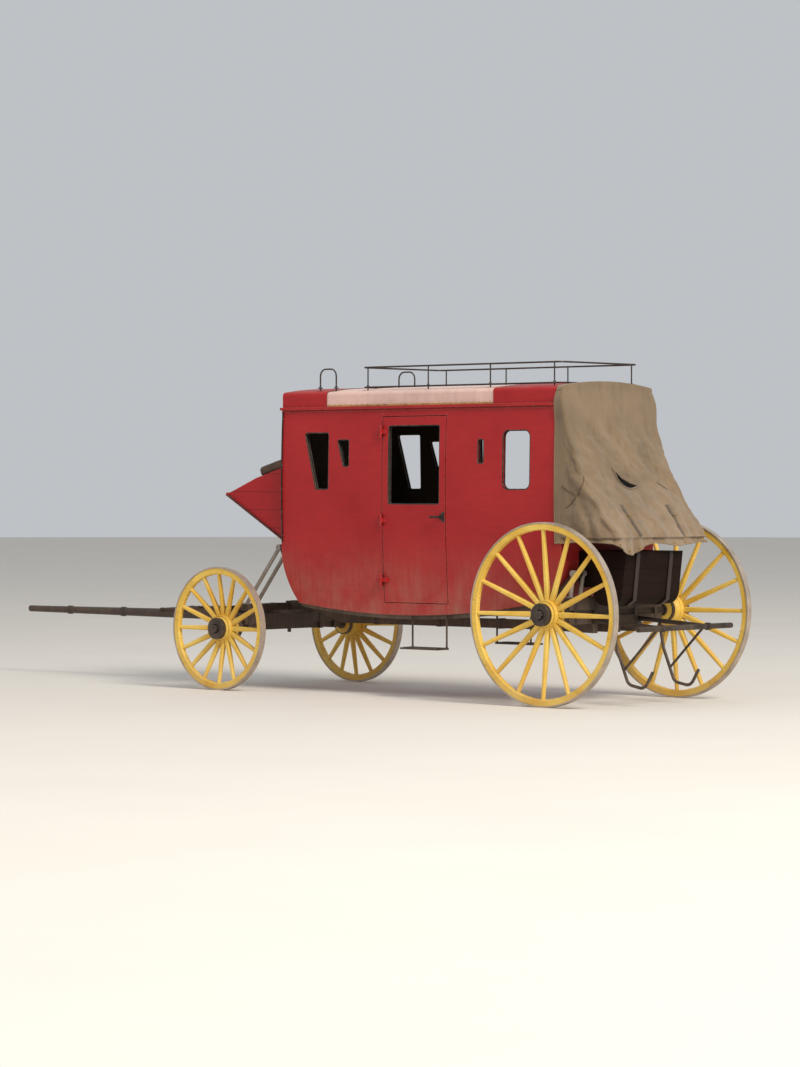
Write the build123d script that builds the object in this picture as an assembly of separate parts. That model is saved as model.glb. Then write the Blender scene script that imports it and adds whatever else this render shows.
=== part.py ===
"""Stagecoach: a cabin slung on leather braces over a perch carriage with four dished wheels.

Millimetres. X runs forward, Y to the left, Z up, and the wheels stand on Z = 0.
Places along X are first measured from the rear axle, and the finished pieces are
then moved so that the origin lies under the middle of the whole length.
"""
import os
from math import atan2, cos, pi, sin, sqrt

from build123d import *

# Wheels and axles
REAR_WHEEL_D = 1450
FRONT_WHEEL_D = 1046
WHEELBASE = 3540
TRACK = 1740
SPOKES = 16
TYRE_THICK = 12
TYRE_WIDTH = 54
FELLOE_DEPTH = 50
FELLOE_WIDTH = 46
FELLOE_EASE = 7
SPOKE_HUB_WIDTH = 46
SPOKE_RIM_WIDTH = 30
SPOKE_HUB_DEPTH = 40
SPOKE_RIM_DEPTH = 34
SPOKE_EASE = 9
SPOKE_SEAT = 14
SPOKE_TENON = 6
DISH = 58
HUB_BELLY_R = 122
HUB_OUT_R = 82
HUB_IN_R = 88
HUB_OUTBOARD = 42
HUB_INBOARD = 190
HUB_SEAT = 36
BAND_THICK = 8
CAP_THICK = 5
CAP_EASE = 2
AXLE_ARM_R = 26
ARM_CLEAR = 0.1
SEAT_CLEAR = 0.3
HUB_END_CLEAR = 4
NUT_R = 36
NUT_LENGTH = 22
NUT_HOLE_CLEAR = 6
AXLE_BAR = 52
COLLAR_R = 46
COLLAR_LENGTH = 18

# Cabin
BODY_BACK = 42
BODY_FRONT = 3066
BODY_HALF_WIDTH = 607
BELT_Z = 1700
SIDE_RADIUS = 12000
WALL = 34
FLOOR_THICK = 30
BODY_TOP_Z = 2370
TURN_Z = 1130
REAR_LOW = (330, 800)
REAR_TURN = (133, 928)
KEEL = (1720, 672)
FRONT_LOW = (2890, 750)
FRONT_TURN = (2995, 908)

# Doors
DOOR_BACK = 1240
DOOR_FRONT = 1920
DOOR_BOTTOM_Z = 776
DOOR_TOP_Z = 2300
DOOR_GAP = 6
DOOR_FREE_GAP = 8
HINGE_PROUD = 14
HINGE_R = 9
HINGE_LENGTH = 50
HINGE_ARM = 22
KNUCKLE_LENGTH = 24
KNUCKLE_CLEAR = 3
LEAF_LENGTH = 54
LEAF_HEIGHT = 36
LEAF_THICK = 5
HINGE_HEIGHTS = (960, 1450, 2180)
HANDLE_Z = 1480
HANDLE_INSET = 40
HANDLE_PLATE_R = 22
HANDLE_PLATE_THICK = 6
HANDLE_REACH = 40
HANDLE_NECK_R = 8
HANDLE_R = 9
HANDLE_LENGTH = 100

# Windows: back, front at the top, bottom, top, corner radius, lean of the front edge
DOOR_WINDOW = (1300, 1860, 1580, 2230, 24, 0)
REAR_WINDOW = (350, 640, 1700, 2180, 60, 0)
FRONT_WINDOW = (2520, 2800, 1700, 2180, 24, 130)
REAR_SLOT = (830, 900, 1910, 2110, 20, 0)
FRONT_SLOT = (2290, 2430, 1890, 2120, 20, 70)

# Roof
CORNICE_PROUD = 20
CORNICE_HEIGHT = 22
CORNICE_CORNER_R = 18
ROOF_SIDE_HEIGHT = 96
ROOF_EDGE_R = 34
ROOF_CROWN = 40
ROOF_SHELL = 18
ROOF_REAR_RED = 750
ROOF_FRONT_RED = 2560
ROOF_INSET = 6
CANVAS_DROP = 4
RAIL_D = 14
RAIL_HEIGHT = 195
RAIL_INSET = 90
RAIL_BACK = 120
RAIL_FRONT = 2240
RAIL_POSTS = 4
RAIL_LOW = 30
RAIL_CORNER_R = 60
POST_R = 5.5
HOOP_R = 6.5
HOOP_BACK = 2530
HOOP_FRONT = 2710
HOOP_HEIGHT = 190

# Driver's box
BOX_HALF_WIDTH = 560
BOX_BOARD = 26
BOX_TOP_Z = 1895
BOX_SEAT_FRONT = 3400
BOX_SEAT_FRONT_Z = 1800
TOE = (3765, 1655)
BOX_HEEL_Z = 1255
SEAT_BOARD = 24
CUSHION_THICK = 95
CUSHION_NOSE_R = 30

# Benches inside
BENCH_DEPTH = 440
BENCH_TOP_Z = 1100
BENCH_BOARD = 24
BENCH_CUSHION = 100
BACK_CUSHION = 80
BACK_CUSHION_TOP_Z = 1640
BENCH_SIDE_GAP = 12

# Rear boot
BOOT_HALF_WIDTH = 370
BOOT_TOP_Z = 1215
BOOT_WALL = 26
BOOT_TAIL = 430
BOOT_FLOOR_TAIL = 380
BOOT_FLOOR_Z = 790
BOOT_STEP_X = -100
BOOT_STEP_Z = 930
BOOT_CORNER_R = 110
COVER_HALF_WIDTH = 600
COVER_TOP_Z = 2480
COVER_MID = (-190, 1870)
COVER_TAIL = (-530, 1320)
COVER_HEM_Z = 1235
COVER_HEM_BACK = 490
BUMPER_X = -730
BUMPER_Z = 620
BUMPER_D = 44
BUMPER_HALF = 610
BUMPER_ARM_Y = 300
BUMPER_ARM_R = 18
BUMPER_ARM_RISE = 50
BUMPER_COLLAR_R = 30
BUMPER_COLLAR_LENGTH = 40

# Curved iron under each crossbar arm, in X and Z: its corners from the arm down to the hook
BOOT_IRON = ((-250, 640), (-290, 440), (-400, 170), (-560, 140), (-640, 275))
BOOT_IRON_BEND = 70
BOOT_IRON_R = 13
BOOT_IRON_LINK = ((-690, 615), (-355, 280))
BOOT_IRON_LINK_R = 10

# Underframe
PERCH_BOTTOM_Z = 565
PERCH_HEIGHT = 75
PERCH_WIDTH = 70
PERCH_TAIL = 60
PERCH_RISE_LENGTH = 340
PERCH_RING_CLEAR = 30
PERCH_RING_GAP = 4
HOUND_REAR_Y = 260
HOUND_REAR_WIDTH = 56
HOUND_REAR_REACH = 760
BED_WIDTH = 90
REAR_BED_HALF = 600
BOLSTER_TOP_REAR_Z = 850
BRACE_Y = 470
BRACE_WIDTH = 84
BRACE_THICK = 34
BRACE_CLEAR = 0.5
BRACE_FRONT_LEAVE = 0.50
BRACE_REAR_LEAVE = 0.62
BRACE_TAIL_FRONT = 300
BRACE_TAIL_REAR = 240
STANDARD_ROD = 34
STANDARD_EYE = 6
STANDARD_FOOT = (64, 48, 10)
SHACKLE_ROD = 40
SHACKLE_CLEAR = 2

# Front gear
FRONT_BED_TOP_Z = 640
RING_OUT_R = 290
RING_IN_R = 250
RING_THICK = 12
RING_GAP = 0.3
TOP_BOLSTER_HALF = 560
TOP_BOLSTER_TOP_Z = 722
KINGPIN_R = 16
KINGPIN_HEAD_R = 30
KINGPIN_HEAD = 16
KINGPIN_BELOW = 30
FRONT_BED_HALF = 600
HOUND_WIDTH = 60
HOUND_HEIGHT = 62
HOUND_SPREAD = 190
HOUND_FRONT = 700
POLE_BUTT = 90
POLE_TIP_D = 58
POLE_TIP_STRAIGHT = 150
POLE_LENGTH = 3300
EVENER_X = 560
EVENER_HALF = 600
EVENER_WIDTH = 80
EVENER_HEIGHT = 45
SINGLETREE_X = 720
SINGLETREE_Y = 470
SINGLETREE_HALF = 370
SINGLETREE_R = 26
SINGLETREE_END = 0.7
SINGLETREE_LINK_R = 10
TRACE_PIN_R = 8
TRACE_PIN_LENGTH = 45

# Step under each door
STEP_BACK = 1260
STEP_FRONT = 1660
STEP_Z = 400
STEP_PLATE = 14
STEP_Y = (532, 682)
STEP_ROD = 16

# Values worked out from the sizes above
POLE_TIP_X = WHEELBASE + POLE_LENGTH
POLE_Z = FRONT_BED_TOP_Z - POLE_BUTT / 2
TAIL_X = BUMPER_X - BUMPER_COLLAR_R
X_MIDDLE = (POLE_TIP_X + TAIL_X) / 2
RIM_Y = TRACK / 2
REAR_AXLE_Z = REAR_WHEEL_D / 2
FRONT_AXLE_Z = FRONT_WHEEL_D / 2
PERCH_TOP_Z = PERCH_BOTTOM_Z + PERCH_HEIGHT
LOWER_RING_TOP_Z = FRONT_BED_TOP_Z + RING_THICK
UPPER_RING_Z = LOWER_RING_TOP_Z + RING_GAP
TOP_BOLSTER_Z = UPPER_RING_Z + RING_THICK
ROOF_Z = BODY_TOP_Z + CORNICE_HEIGHT
OVERRUN = 50
BIG = 4000
ROD_SIDES = 8


def face_of(*edges):
    """A face bounded by edges given in order."""
    return make_face(list(edges))


def polygon(*points):
    """A face bounded by straight lines through the points."""
    return make_face(Polyline(*points, close=True).edges())


def along_y(face, low, high):
    """A solid from a face drawn in X and Z, between two Y planes."""
    return extrude(Plane.XZ.offset(-high) * face, amount=high - low)


def along_x(face, low, high):
    """A solid from a face drawn in Y and Z, between two X planes."""
    return extrude(Plane.YZ.offset(low) * face, amount=high - low)


def block(x, y, z):
    """A box from pairs of low and high values."""
    corner = Pos(x[0], y[0], z[0])
    return corner * Box(x[1] - x[0], y[1] - y[0], z[1] - z[0], align=(Align.MIN,) * 3)


def rod(start, end, radius):
    """A round bar between two points."""
    a, b = Vector(*start), Vector(*end)
    plane = Plane(origin=a, z_dir=(b - a).normalized())
    return extrude(plane * Circle(radius), amount=(b - a).length)


def mirrored(shape):
    """The same piece on the other side of the coach."""
    return mirror(shape, about=Plane.XZ)


def window_face(window):
    """A window outline in X and Z with rounded corners."""
    back, front, bottom, top, radius, lean = window
    outline = polygon((back, bottom), (back, top), (front, top), (front - lean, bottom))
    return fillet(outline.vertices(), radius)


def body_face():
    """The side outline of the cabin: straight ends, turned-up corners and a gentle keel."""
    rear_turn = ThreePointArc((BODY_BACK, TURN_Z), REAR_TURN, REAR_LOW)
    keel = ThreePointArc(REAR_LOW, KEEL, FRONT_LOW)
    front_turn = ThreePointArc(FRONT_LOW, FRONT_TURN, (BODY_FRONT, TURN_Z))
    front = Line((BODY_FRONT, TURN_Z), (BODY_FRONT, BODY_TOP_Z))
    top = Line((BODY_FRONT, BODY_TOP_Z), (BODY_BACK, BODY_TOP_Z))
    back = Line((BODY_BACK, BODY_TOP_Z), (BODY_BACK, TURN_Z))
    return face_of(rear_turn, keel, front_turn, front, top, back)


def side_y(z, inset=0):
    """How far out the barrelled side is at a height."""
    radius = SIDE_RADIUS - inset
    return BODY_HALF_WIDTH - SIDE_RADIUS + sqrt(radius ** 2 - (z - BELT_Z) ** 2)


def section_face(inset):
    """The cross section of the cabin in Y and Z, drawn in by an inset."""
    low, high = KEEL[1] - OVERRUN, BODY_TOP_Z
    right = ThreePointArc((side_y(low, inset), low), (side_y(BELT_Z, inset), BELT_Z),
                          (side_y(high, inset), high))
    left = ThreePointArc((-side_y(high, inset), high), (-side_y(BELT_Z, inset), BELT_Z),
                         (-side_y(low, inset), low))
    top = Line((side_y(high, inset), high), (-side_y(high, inset), high))
    bottom = Line((-side_y(low, inset), low), (side_y(low, inset), low))
    return face_of(right, top, left, bottom)


OUTLINE = body_face()
OUTER = along_x(section_face(0), BODY_BACK - OVERRUN, BODY_FRONT + OVERRUN)
INNER = along_x(section_face(WALL), BODY_BACK - OVERRUN, BODY_FRONT + OVERRUN)
SIDE_BAND = (OUTER - INNER) & along_y(OUTLINE, -BIG, BIG)
DOOR_HOLE = ((DOOR_BACK - DOOR_FREE_GAP, DOOR_FRONT + DOOR_GAP),
             (DOOR_BOTTOM_Z - DOOR_GAP, DOOR_TOP_Z + DOOR_GAP))


def quarter(back, front, windows):
    """One quarter panel of the left side between two X planes, with its windows cut."""
    panel = SIDE_BAND & block((back, front), (0, BIG), (0, BIG))
    for window in windows:
        panel -= along_y(window_face(window), 0, BIG)
    return panel


def door():
    """The left door, cut from the same barrelled band as the side."""
    slab = SIDE_BAND & block((DOOR_BACK, DOOR_FRONT), (0, BIG), (DOOR_BOTTOM_Z, DOOR_TOP_Z))
    return slab - along_y(window_face(DOOR_WINDOW), 0, BIG)


HINGE_X = DOOR_FRONT + DOOR_GAP / 2
HINGE_Y = BODY_HALF_WIDTH + HINGE_PROUD


def leaf(z, low_x, high_x):
    """A flat hinge leaf that lies on the barrelled side and thickens towards the hinge line."""
    inner_y = side_y(z + LEAF_HEIGHT / 2) - LEAF_THICK
    plate = block((low_x, high_x), (inner_y, HINGE_Y), (z - LEAF_HEIGHT / 2, z + LEAF_HEIGHT / 2))
    if low_x < HINGE_X - LEAF_LENGTH / 2:
        thin_x = (low_x, HINGE_X - 2 * HINGE_R)
    else:
        thin_x = (HINGE_X + 2 * HINGE_R, high_x)
    outer_y = BODY_HALF_WIDTH + LEAF_THICK
    return plate - block(thin_x, (outer_y, BIG), (0, BIG)) - OUTER


def door_irons():
    """The moving half of each hinge with its middle barrel, and the turned lever handle."""
    solids = []
    for z in HINGE_HEIGHTS:
        low, high = z - HINGE_LENGTH / 2, z + HINGE_LENGTH / 2
        barrel = rod((HINGE_X, HINGE_Y, low), (HINGE_X, HINGE_Y, high), HINGE_R)
        solids.append(barrel + leaf(z, HINGE_X - LEAF_LENGTH, HINGE_X - DOOR_GAP))
    return Compound(children=solids + [door_handle()])


def hinge_knuckles():
    """The fixed half of each hinge: a leaf on the quarter panel with a knuckle above and below."""
    solids = []
    for z in HINGE_HEIGHTS:
        plate = leaf(z, HINGE_X + HINGE_R + KNUCKLE_CLEAR, HINGE_X + LEAF_LENGTH)
        for way in (-1, 1):
            near = z + way * (HINGE_LENGTH / 2 + SEAT_CLEAR)
            far = near + way * KNUCKLE_LENGTH
            knuckle = rod((HINGE_X, HINGE_Y, near), (HINGE_X, HINGE_Y, far), HINGE_R)
            arm = block((HINGE_X, HINGE_X + HINGE_ARM), (HINGE_Y - LEAF_THICK, HINGE_Y),
                        sorted((near, far)))
            plate += knuckle + arm
        reach = HINGE_LENGTH / 2 + KNUCKLE_LENGTH
        tip = HINGE_X + HINGE_ARM
        plate += block((tip - LEAF_THICK, tip), (side_y(z) - HINGE_R, HINGE_Y), (z - reach, z + reach))
        solids.append(plate - OUTER)
    return Compound(children=solids)


def door_handle():
    """A turned lever on a round plate near the free edge of the door."""
    x = DOOR_BACK + HANDLE_INSET
    face_y = side_y(HANDLE_Z)
    far_y = face_y + HANDLE_REACH
    plate = rod((x, face_y, HANDLE_Z), (x, face_y + HANDLE_PLATE_THICK, HANDLE_Z), HANDLE_PLATE_R)
    neck = rod((x, face_y, HANDLE_Z), (x, far_y, HANDLE_Z), HANDLE_NECK_R)
    lever = rod((x - HANDLE_R, far_y, HANDLE_Z), (x - HANDLE_R + HANDLE_LENGTH, far_y, HANDLE_Z), HANDLE_R)
    return (plate + neck + lever) - OUTER


def tub():
    """The board that follows the body outline between the sides."""
    ring = OUTLINE - offset(OUTLINE, amount=-FLOOR_THICK)
    return along_y(ring, -BIG / 2, BIG / 2) & INNER


def body_floor():
    """The turned-up floor with the sill under each door."""
    lower = tub() & block((0, BIG), (-BIG, BIG), (0, TURN_Z))
    sill = SIDE_BAND & block(DOOR_HOLE[0], (-BIG, BIG), (0, DOOR_HOLE[1][0]))
    return lower + sill


def end_wall(at_front):
    """The upright board at one end of the cabin."""
    ends = (BODY_FRONT - FLOOR_THICK, BODY_FRONT) if at_front else (BODY_BACK, BODY_BACK + FLOOR_THICK)
    return tub() & block(ends, (-BIG, BIG), (TURN_Z, BODY_TOP_Z - FLOOR_THICK))


def roof_frame():
    """The roof board with its cornice, and the header over each door."""
    half = side_y(BODY_TOP_Z) + CORNICE_PROUD
    ends = (BODY_BACK - CORNICE_PROUD, BODY_FRONT + CORNICE_PROUD)
    board = block(ends, (-half, half), (BODY_TOP_Z, ROOF_Z))
    board = fillet(board.edges().filter_by(Axis.Z), CORNICE_CORNER_R)
    header = SIDE_BAND & block(DOOR_HOLE[0], (-BIG, BIG), (DOOR_HOLE[1][1], BODY_TOP_Z))
    ceiling = (tub() & block((BODY_BACK, BODY_FRONT), (-BIG, BIG), (BODY_TOP_Z - FLOOR_THICK, BODY_TOP_Z)))
    return board + header + ceiling


def crown_face(drop=0):
    """The cross section of the roof above the cornice: upright edge, rounded shoulder, low crown."""
    half = side_y(BODY_TOP_Z) - ROOF_INSET - drop
    edge_z = ROOF_Z + ROOF_SIDE_HEIGHT - drop
    shoulder = half - ROOF_EDGE_R
    top_z = edge_z + ROOF_EDGE_R
    bend = ROOF_EDGE_R * (1 - cos(pi / 4))
    return face_of(
        Line((-half, ROOF_Z), (half, ROOF_Z)),
        Line((half, ROOF_Z), (half, edge_z)),
        ThreePointArc((half, edge_z), (half - bend, top_z - bend), (shoulder, top_z)),
        ThreePointArc((shoulder, top_z), (0, top_z + ROOF_CROWN), (-shoulder, top_z)),
        ThreePointArc((-shoulder, top_z), (-half + bend, top_z - bend), (-half, edge_z)),
        Line((-half, edge_z), (-half, ROOF_Z)))


def crown(back, front, drop=0):
    """One length of the crowned roof: a shell that is open below, over the roof board."""
    solid = along_x(crown_face(drop), back, front)
    hollow = block((back + ROOF_SHELL, front - ROOF_SHELL), (-BIG, BIG), (0, BIG))
    return solid - (along_x(crown_face(drop + ROOF_SHELL), back, front) & hollow)


def roof_top_z(y):
    """Height of the crowned roof at a distance from the middle."""
    half = side_y(BODY_TOP_Z) - ROOF_INSET - ROOF_EDGE_R
    radius = (half ** 2 + ROOF_CROWN ** 2) / (2 * ROOF_CROWN)
    top = ROOF_Z + ROOF_SIDE_HEIGHT + ROOF_EDGE_R + ROOF_CROWN
    return top - radius + sqrt(radius ** 2 - y ** 2)


def roof_rails():
    """The two-bar luggage rail round the roof, and a grab hoop each side behind the driver."""
    y = side_y(BODY_TOP_Z) - RAIL_INSET
    foot = roof_top_z(y) - 2 * CANVAS_DROP
    top = foot + RAIL_HEIGHT
    radius = RAIL_D / 2
    roof = along_x(crown_face(CANVAS_DROP), ROOF_REAR_RED, ROOF_FRONT_RED)
    roof += along_x(crown_face(), BODY_BACK, ROOF_REAR_RED)
    roof += along_x(crown_face(), ROOF_FRONT_RED, BODY_FRONT)
    middle = (RAIL_BACK + RAIL_FRONT) / 2
    first = RAIL_BACK + RAIL_CORNER_R + radius
    step = (RAIL_FRONT - RAIL_CORNER_R - radius - first) / (RAIL_POSTS - 1)
    posts = []
    for number in range(RAIL_POSTS):
        for side in (y, -y):
            x = first + step * number
            posts.append(rod((x, side, foot - ROOF_SHELL), (x, side, top), POST_R))
    loops = []
    for z in (foot + RAIL_LOW, top):
        loop = (Pos(middle, 0, z) * RectangleRounded(RAIL_FRONT - RAIL_BACK, 2 * y, RAIL_CORNER_R)).wire()
        section = Plane(origin=loop @ 0, z_dir=loop % 0) * RegularPolygon(radius, ROD_SIDES)
        loops.append(sweep(section, path=loop))
    rail = loops[1].fuse(*posts)
    rail = rail.fuse(loops[0])
    hoops = []
    for side in (y, -y):
        path = FilletPolyline((HOOP_BACK, side, foot - ROOF_SHELL), (HOOP_BACK, side, foot + HOOP_HEIGHT),
                              (HOOP_FRONT, side, foot + HOOP_HEIGHT), (HOOP_FRONT, side, foot - ROOF_SHELL),
                              radius=RAIL_CORNER_R)
        section = Plane(origin=path @ 0, z_dir=path % 0) * RegularPolygon(HOOP_R, ROD_SIDES)
        hoops.append(sweep(section, path=path))
    return Compound(children=[s - roof for s in [rail] + hoops])


def driver_box():
    """The wedge-shaped box ahead of the cabin: two side boards, the toe board and the seat board."""
    start = BODY_FRONT
    face = polygon((start, BOX_TOP_Z), (BOX_SEAT_FRONT, BOX_SEAT_FRONT_Z), TOE, (start, BOX_HEEL_Z))
    side = along_y(face, BOX_HALF_WIDTH - BOX_BOARD, BOX_HALF_WIDTH)
    run = Vector(TOE[0] - start, TOE[1] - BOX_HEEL_Z)
    normal = Vector(-run.Y, run.X).normalized() * BOX_BOARD
    toe = polygon((start, BOX_HEEL_Z), TOE, (TOE[0] + normal.X, TOE[1] + normal.Y),
                  (start, BOX_HEEL_Z + BOX_BOARD * run.length / run.X))
    board = along_y(toe, -BOX_HALF_WIDTH, BOX_HALF_WIDTH)
    seat_face = polygon((start, BOX_TOP_Z), (BOX_SEAT_FRONT, BOX_SEAT_FRONT_Z),
                        (BOX_SEAT_FRONT, BOX_SEAT_FRONT_Z - SEAT_BOARD), (start, BOX_TOP_Z - SEAT_BOARD))
    seat = along_y(seat_face, -BOX_HALF_WIDTH, BOX_HALF_WIDTH)
    return side + mirrored(side) + board + seat


def driver_cushion():
    """The driver's seat cushion, lying on the seat board."""
    lift = SEAT_CLEAR
    start = BODY_FRONT + SEAT_CLEAR
    face = polygon((start, BOX_TOP_Z + lift), (BOX_SEAT_FRONT, BOX_SEAT_FRONT_Z + lift),
                   (BOX_SEAT_FRONT, BOX_SEAT_FRONT_Z + CUSHION_THICK), (start, BOX_TOP_Z + CUSHION_THICK))
    cushion = along_y(face, -BOX_HALF_WIDTH, BOX_HALF_WIDTH)
    return fillet(cushion.edges().filter_by(Axis.Y).sort_by(Axis.X)[-1], CUSHION_NOSE_R)


def inner_space(end_clear, side_clear):
    """The space inside the cabin, drawn in by a clearance at the ends and floor and at the sides."""
    lengthwise = along_y(offset(OUTLINE, amount=-FLOOR_THICK - end_clear), -BIG / 2, BIG / 2)
    return lengthwise & along_x(section_face(WALL + side_clear), BODY_BACK - OVERRUN, BODY_FRONT + OVERRUN)


def bench(at_front):
    """A bench: top board and riser, standing on the floor against one end wall."""
    if at_front:
        wall, edge, sign = BODY_FRONT - FLOOR_THICK, BODY_FRONT - FLOOR_THICK - BENCH_DEPTH, 1
    else:
        wall, edge, sign = BODY_BACK + FLOOR_THICK, BODY_BACK + FLOOR_THICK + BENCH_DEPTH, -1
    top = block(sorted((wall, edge)), (-BIG, BIG), (BENCH_TOP_Z - BENCH_BOARD, BENCH_TOP_Z))
    riser = block(sorted((edge, edge + sign * BENCH_BOARD)), (-BIG, BIG), (0, BENCH_TOP_Z))
    return (top + riser) & inner_space(0, 0)


def bench_cushions(at_front):
    """The seat cushion and back cushion of one bench."""
    sign = 1 if at_front else -1
    wall = BODY_FRONT - FLOOR_THICK - SEAT_CLEAR if at_front else BODY_BACK + FLOOR_THICK + SEAT_CLEAR
    edge = wall - sign * BENCH_DEPTH
    low = BENCH_TOP_Z + SEAT_CLEAR
    seat = block(sorted((wall, edge)), (-BIG, BIG), (low, low + BENCH_CUSHION))
    back = block(sorted((wall, wall - sign * BACK_CUSHION)), (-BIG, BIG),
                 (low + BENCH_CUSHION + SEAT_CLEAR, BACK_CUSHION_TOP_Z))
    space = inner_space(SEAT_CLEAR, BENCH_SIDE_GAP)
    return [seat & space, back & space]


def rear_boot():
    """The open-topped luggage boot behind the cabin, stepped over the rear axle."""
    back = BODY_BACK
    outer = polygon((back, BOOT_TOP_Z), (-BOOT_TAIL, BOOT_TOP_Z), (-BOOT_FLOOR_TAIL, BOOT_FLOOR_Z),
                    (BOOT_STEP_X, BOOT_FLOOR_Z), (BOOT_STEP_X, BOOT_STEP_Z), (back, BOOT_STEP_Z))
    outer = fillet(outer.vertices().sort_by(Axis.Y)[:2], BOOT_CORNER_R)
    inner = offset(outer, amount=-BOOT_WALL)
    hull = along_y(outer, -BOOT_HALF_WIDTH, BOOT_HALF_WIDTH)
    room = along_y(inner, -BOOT_HALF_WIDTH + BOOT_WALL, BOOT_HALF_WIDTH - BOOT_WALL)
    mouth = block((-BOOT_TAIL + BOOT_WALL, back - BOOT_WALL),
                  (-BOOT_HALF_WIDTH + BOOT_WALL, BOOT_HALF_WIDTH - BOOT_WALL),
                  (BOOT_TOP_Z - 2 * BOOT_WALL, BOOT_TOP_Z + BOOT_WALL))
    outline = along_y(OUTLINE, -BIG, BIG)
    return hull - room - mouth - outline


def boot_cover():
    """The canvas cover that slopes from the roof edge out over the boot."""
    start = BODY_BACK - SEAT_CLEAR
    tail_low = (-COVER_HEM_BACK, COVER_HEM_Z)
    face = face_of(
        Line((start, COVER_HEM_Z), (start, COVER_TOP_Z)),
        Line((start, COVER_TOP_Z), COVER_MID),
        Line(COVER_MID, COVER_TAIL),
        Line(COVER_TAIL, tail_low),
        Line(tail_low, (start, COVER_HEM_Z)))
    cover = along_y(face, -COVER_HALF_WIDTH, COVER_HALF_WIDTH)
    cornice_x = (BODY_BACK - CORNICE_PROUD - SHACKLE_CLEAR, BIG)
    cornice = block(cornice_x, (-BIG, BIG), (BODY_TOP_Z - SHACKLE_CLEAR, BIG))
    return cover - cornice


def wheel_wood(diameter):
    """Hub, spokes and felloes of one wheel about Z, with Z pointing outboard."""
    rim_out = diameter / 2 - TYRE_THICK - SEAT_CLEAR
    rim_in = rim_out - FELLOE_DEPTH
    half = FELLOE_WIDTH / 2
    eased = rim_in + FELLOE_EASE
    felloe = polygon((rim_in, FELLOE_EASE - half), (eased, -half), (rim_out, -half), (rim_out, half),
                     (eased, half), (rim_in, half - FELLOE_EASE))
    rim = revolve(Plane.XZ * felloe, Axis.Z)
    bore = AXLE_ARM_R + ARM_CLEAR
    seat_in, seat_out = HUB_SEAT - HUB_INBOARD, HUB_OUTBOARD - HUB_SEAT
    barrel = face_of(
        Line((bore, -HUB_INBOARD), (HUB_IN_R, -HUB_INBOARD)),
        Line((HUB_IN_R, -HUB_INBOARD), (HUB_IN_R, seat_in)),
        ThreePointArc((HUB_IN_R, seat_in), (HUB_BELLY_R, -DISH), (HUB_OUT_R, seat_out)),
        Line((HUB_OUT_R, seat_out), (HUB_OUT_R, HUB_OUTBOARD)),
        Line((HUB_OUT_R, HUB_OUTBOARD), (bore, HUB_OUTBOARD)),
        Line((bore, HUB_OUTBOARD), (bore, -HUB_INBOARD)))
    hub = revolve(Plane.XZ * barrel, Axis.Z)
    foot_r = HUB_BELLY_R - SPOKE_SEAT
    head_r = rim_in + SPOKE_TENON
    slope = atan2(DISH, head_r - foot_r)
    length = sqrt((head_r - foot_r) ** 2 + DISH ** 2)
    foot = Plane(origin=(foot_r, 0, -DISH), x_dir=(0, 1, 0), z_dir=(cos(slope), 0, sin(slope)))
    low = foot * chamfer(Rectangle(SPOKE_HUB_WIDTH, SPOKE_HUB_DEPTH).vertices(), SPOKE_EASE)
    high = foot.offset(length) * chamfer(Rectangle(SPOKE_RIM_WIDTH, SPOKE_RIM_DEPTH).vertices(), SPOKE_EASE)
    spoke = loft([low, high])
    spokes = [Rot(0, 0, 360 / SPOKES * number) * spoke for number in range(SPOKES)]
    return rim.fuse(hub, *spokes)


def wheel_tyre(diameter):
    """The iron tyre of one wheel about Z."""
    return Cylinder(diameter / 2, TYRE_WIDTH) - Cylinder(diameter / 2 - TYRE_THICK, TYRE_WIDTH + OVERRUN)


def hub_bands():
    """The iron cap on the outer end of a hub and the band on its inner end, about Z."""
    seat = HUB_OUT_R + SEAT_CLEAR
    top = HUB_OUTBOARD + SEAT_CLEAR
    hole = NUT_R + NUT_HOLE_CLEAR
    side, face = seat + BAND_THICK, top + CAP_THICK
    cap = polygon((seat, HUB_OUTBOARD - HUB_SEAT), (side, HUB_OUTBOARD - HUB_SEAT), (side, face - CAP_EASE),
                  (side - CAP_EASE, face), (hole, face), (hole, top), (seat, top))
    inner = HUB_IN_R + SEAT_CLEAR
    band = polygon((inner, -HUB_INBOARD), (inner + BAND_THICK, -HUB_INBOARD),
                   (inner + BAND_THICK, -HUB_INBOARD + HUB_SEAT), (inner, -HUB_INBOARD + HUB_SEAT))
    return Compound(children=[revolve(Plane.XZ * cap, Axis.Z), revolve(Plane.XZ * band, Axis.Z)])


def axle(x, z):
    """A square axle bar with a collar, a round arm and a nut at each end."""
    shoulder = RIM_Y - HUB_INBOARD - HUB_END_CLEAR
    bar = block((x - AXLE_BAR / 2, x + AXLE_BAR / 2), (-shoulder + COLLAR_LENGTH, shoulder - COLLAR_LENGTH),
                (z - AXLE_BAR / 2, z + AXLE_BAR / 2))
    arm_end = RIM_Y + HUB_OUTBOARD + HUB_END_CLEAR
    arm = rod((x, shoulder - COLLAR_LENGTH, z), (x, arm_end + NUT_LENGTH / 2, z), AXLE_ARM_R)
    collar = rod((x, shoulder - COLLAR_LENGTH, z), (x, shoulder, z), COLLAR_R)
    nut_plane = Plane(origin=(x, arm_end, z), x_dir=(1, 0, 0), z_dir=(0, 1, 0))
    nut = extrude(nut_plane * RegularPolygon(NUT_R, 6), amount=NUT_LENGTH)
    end = arm + collar + nut
    return bar + end + mirrored(end)


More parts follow.
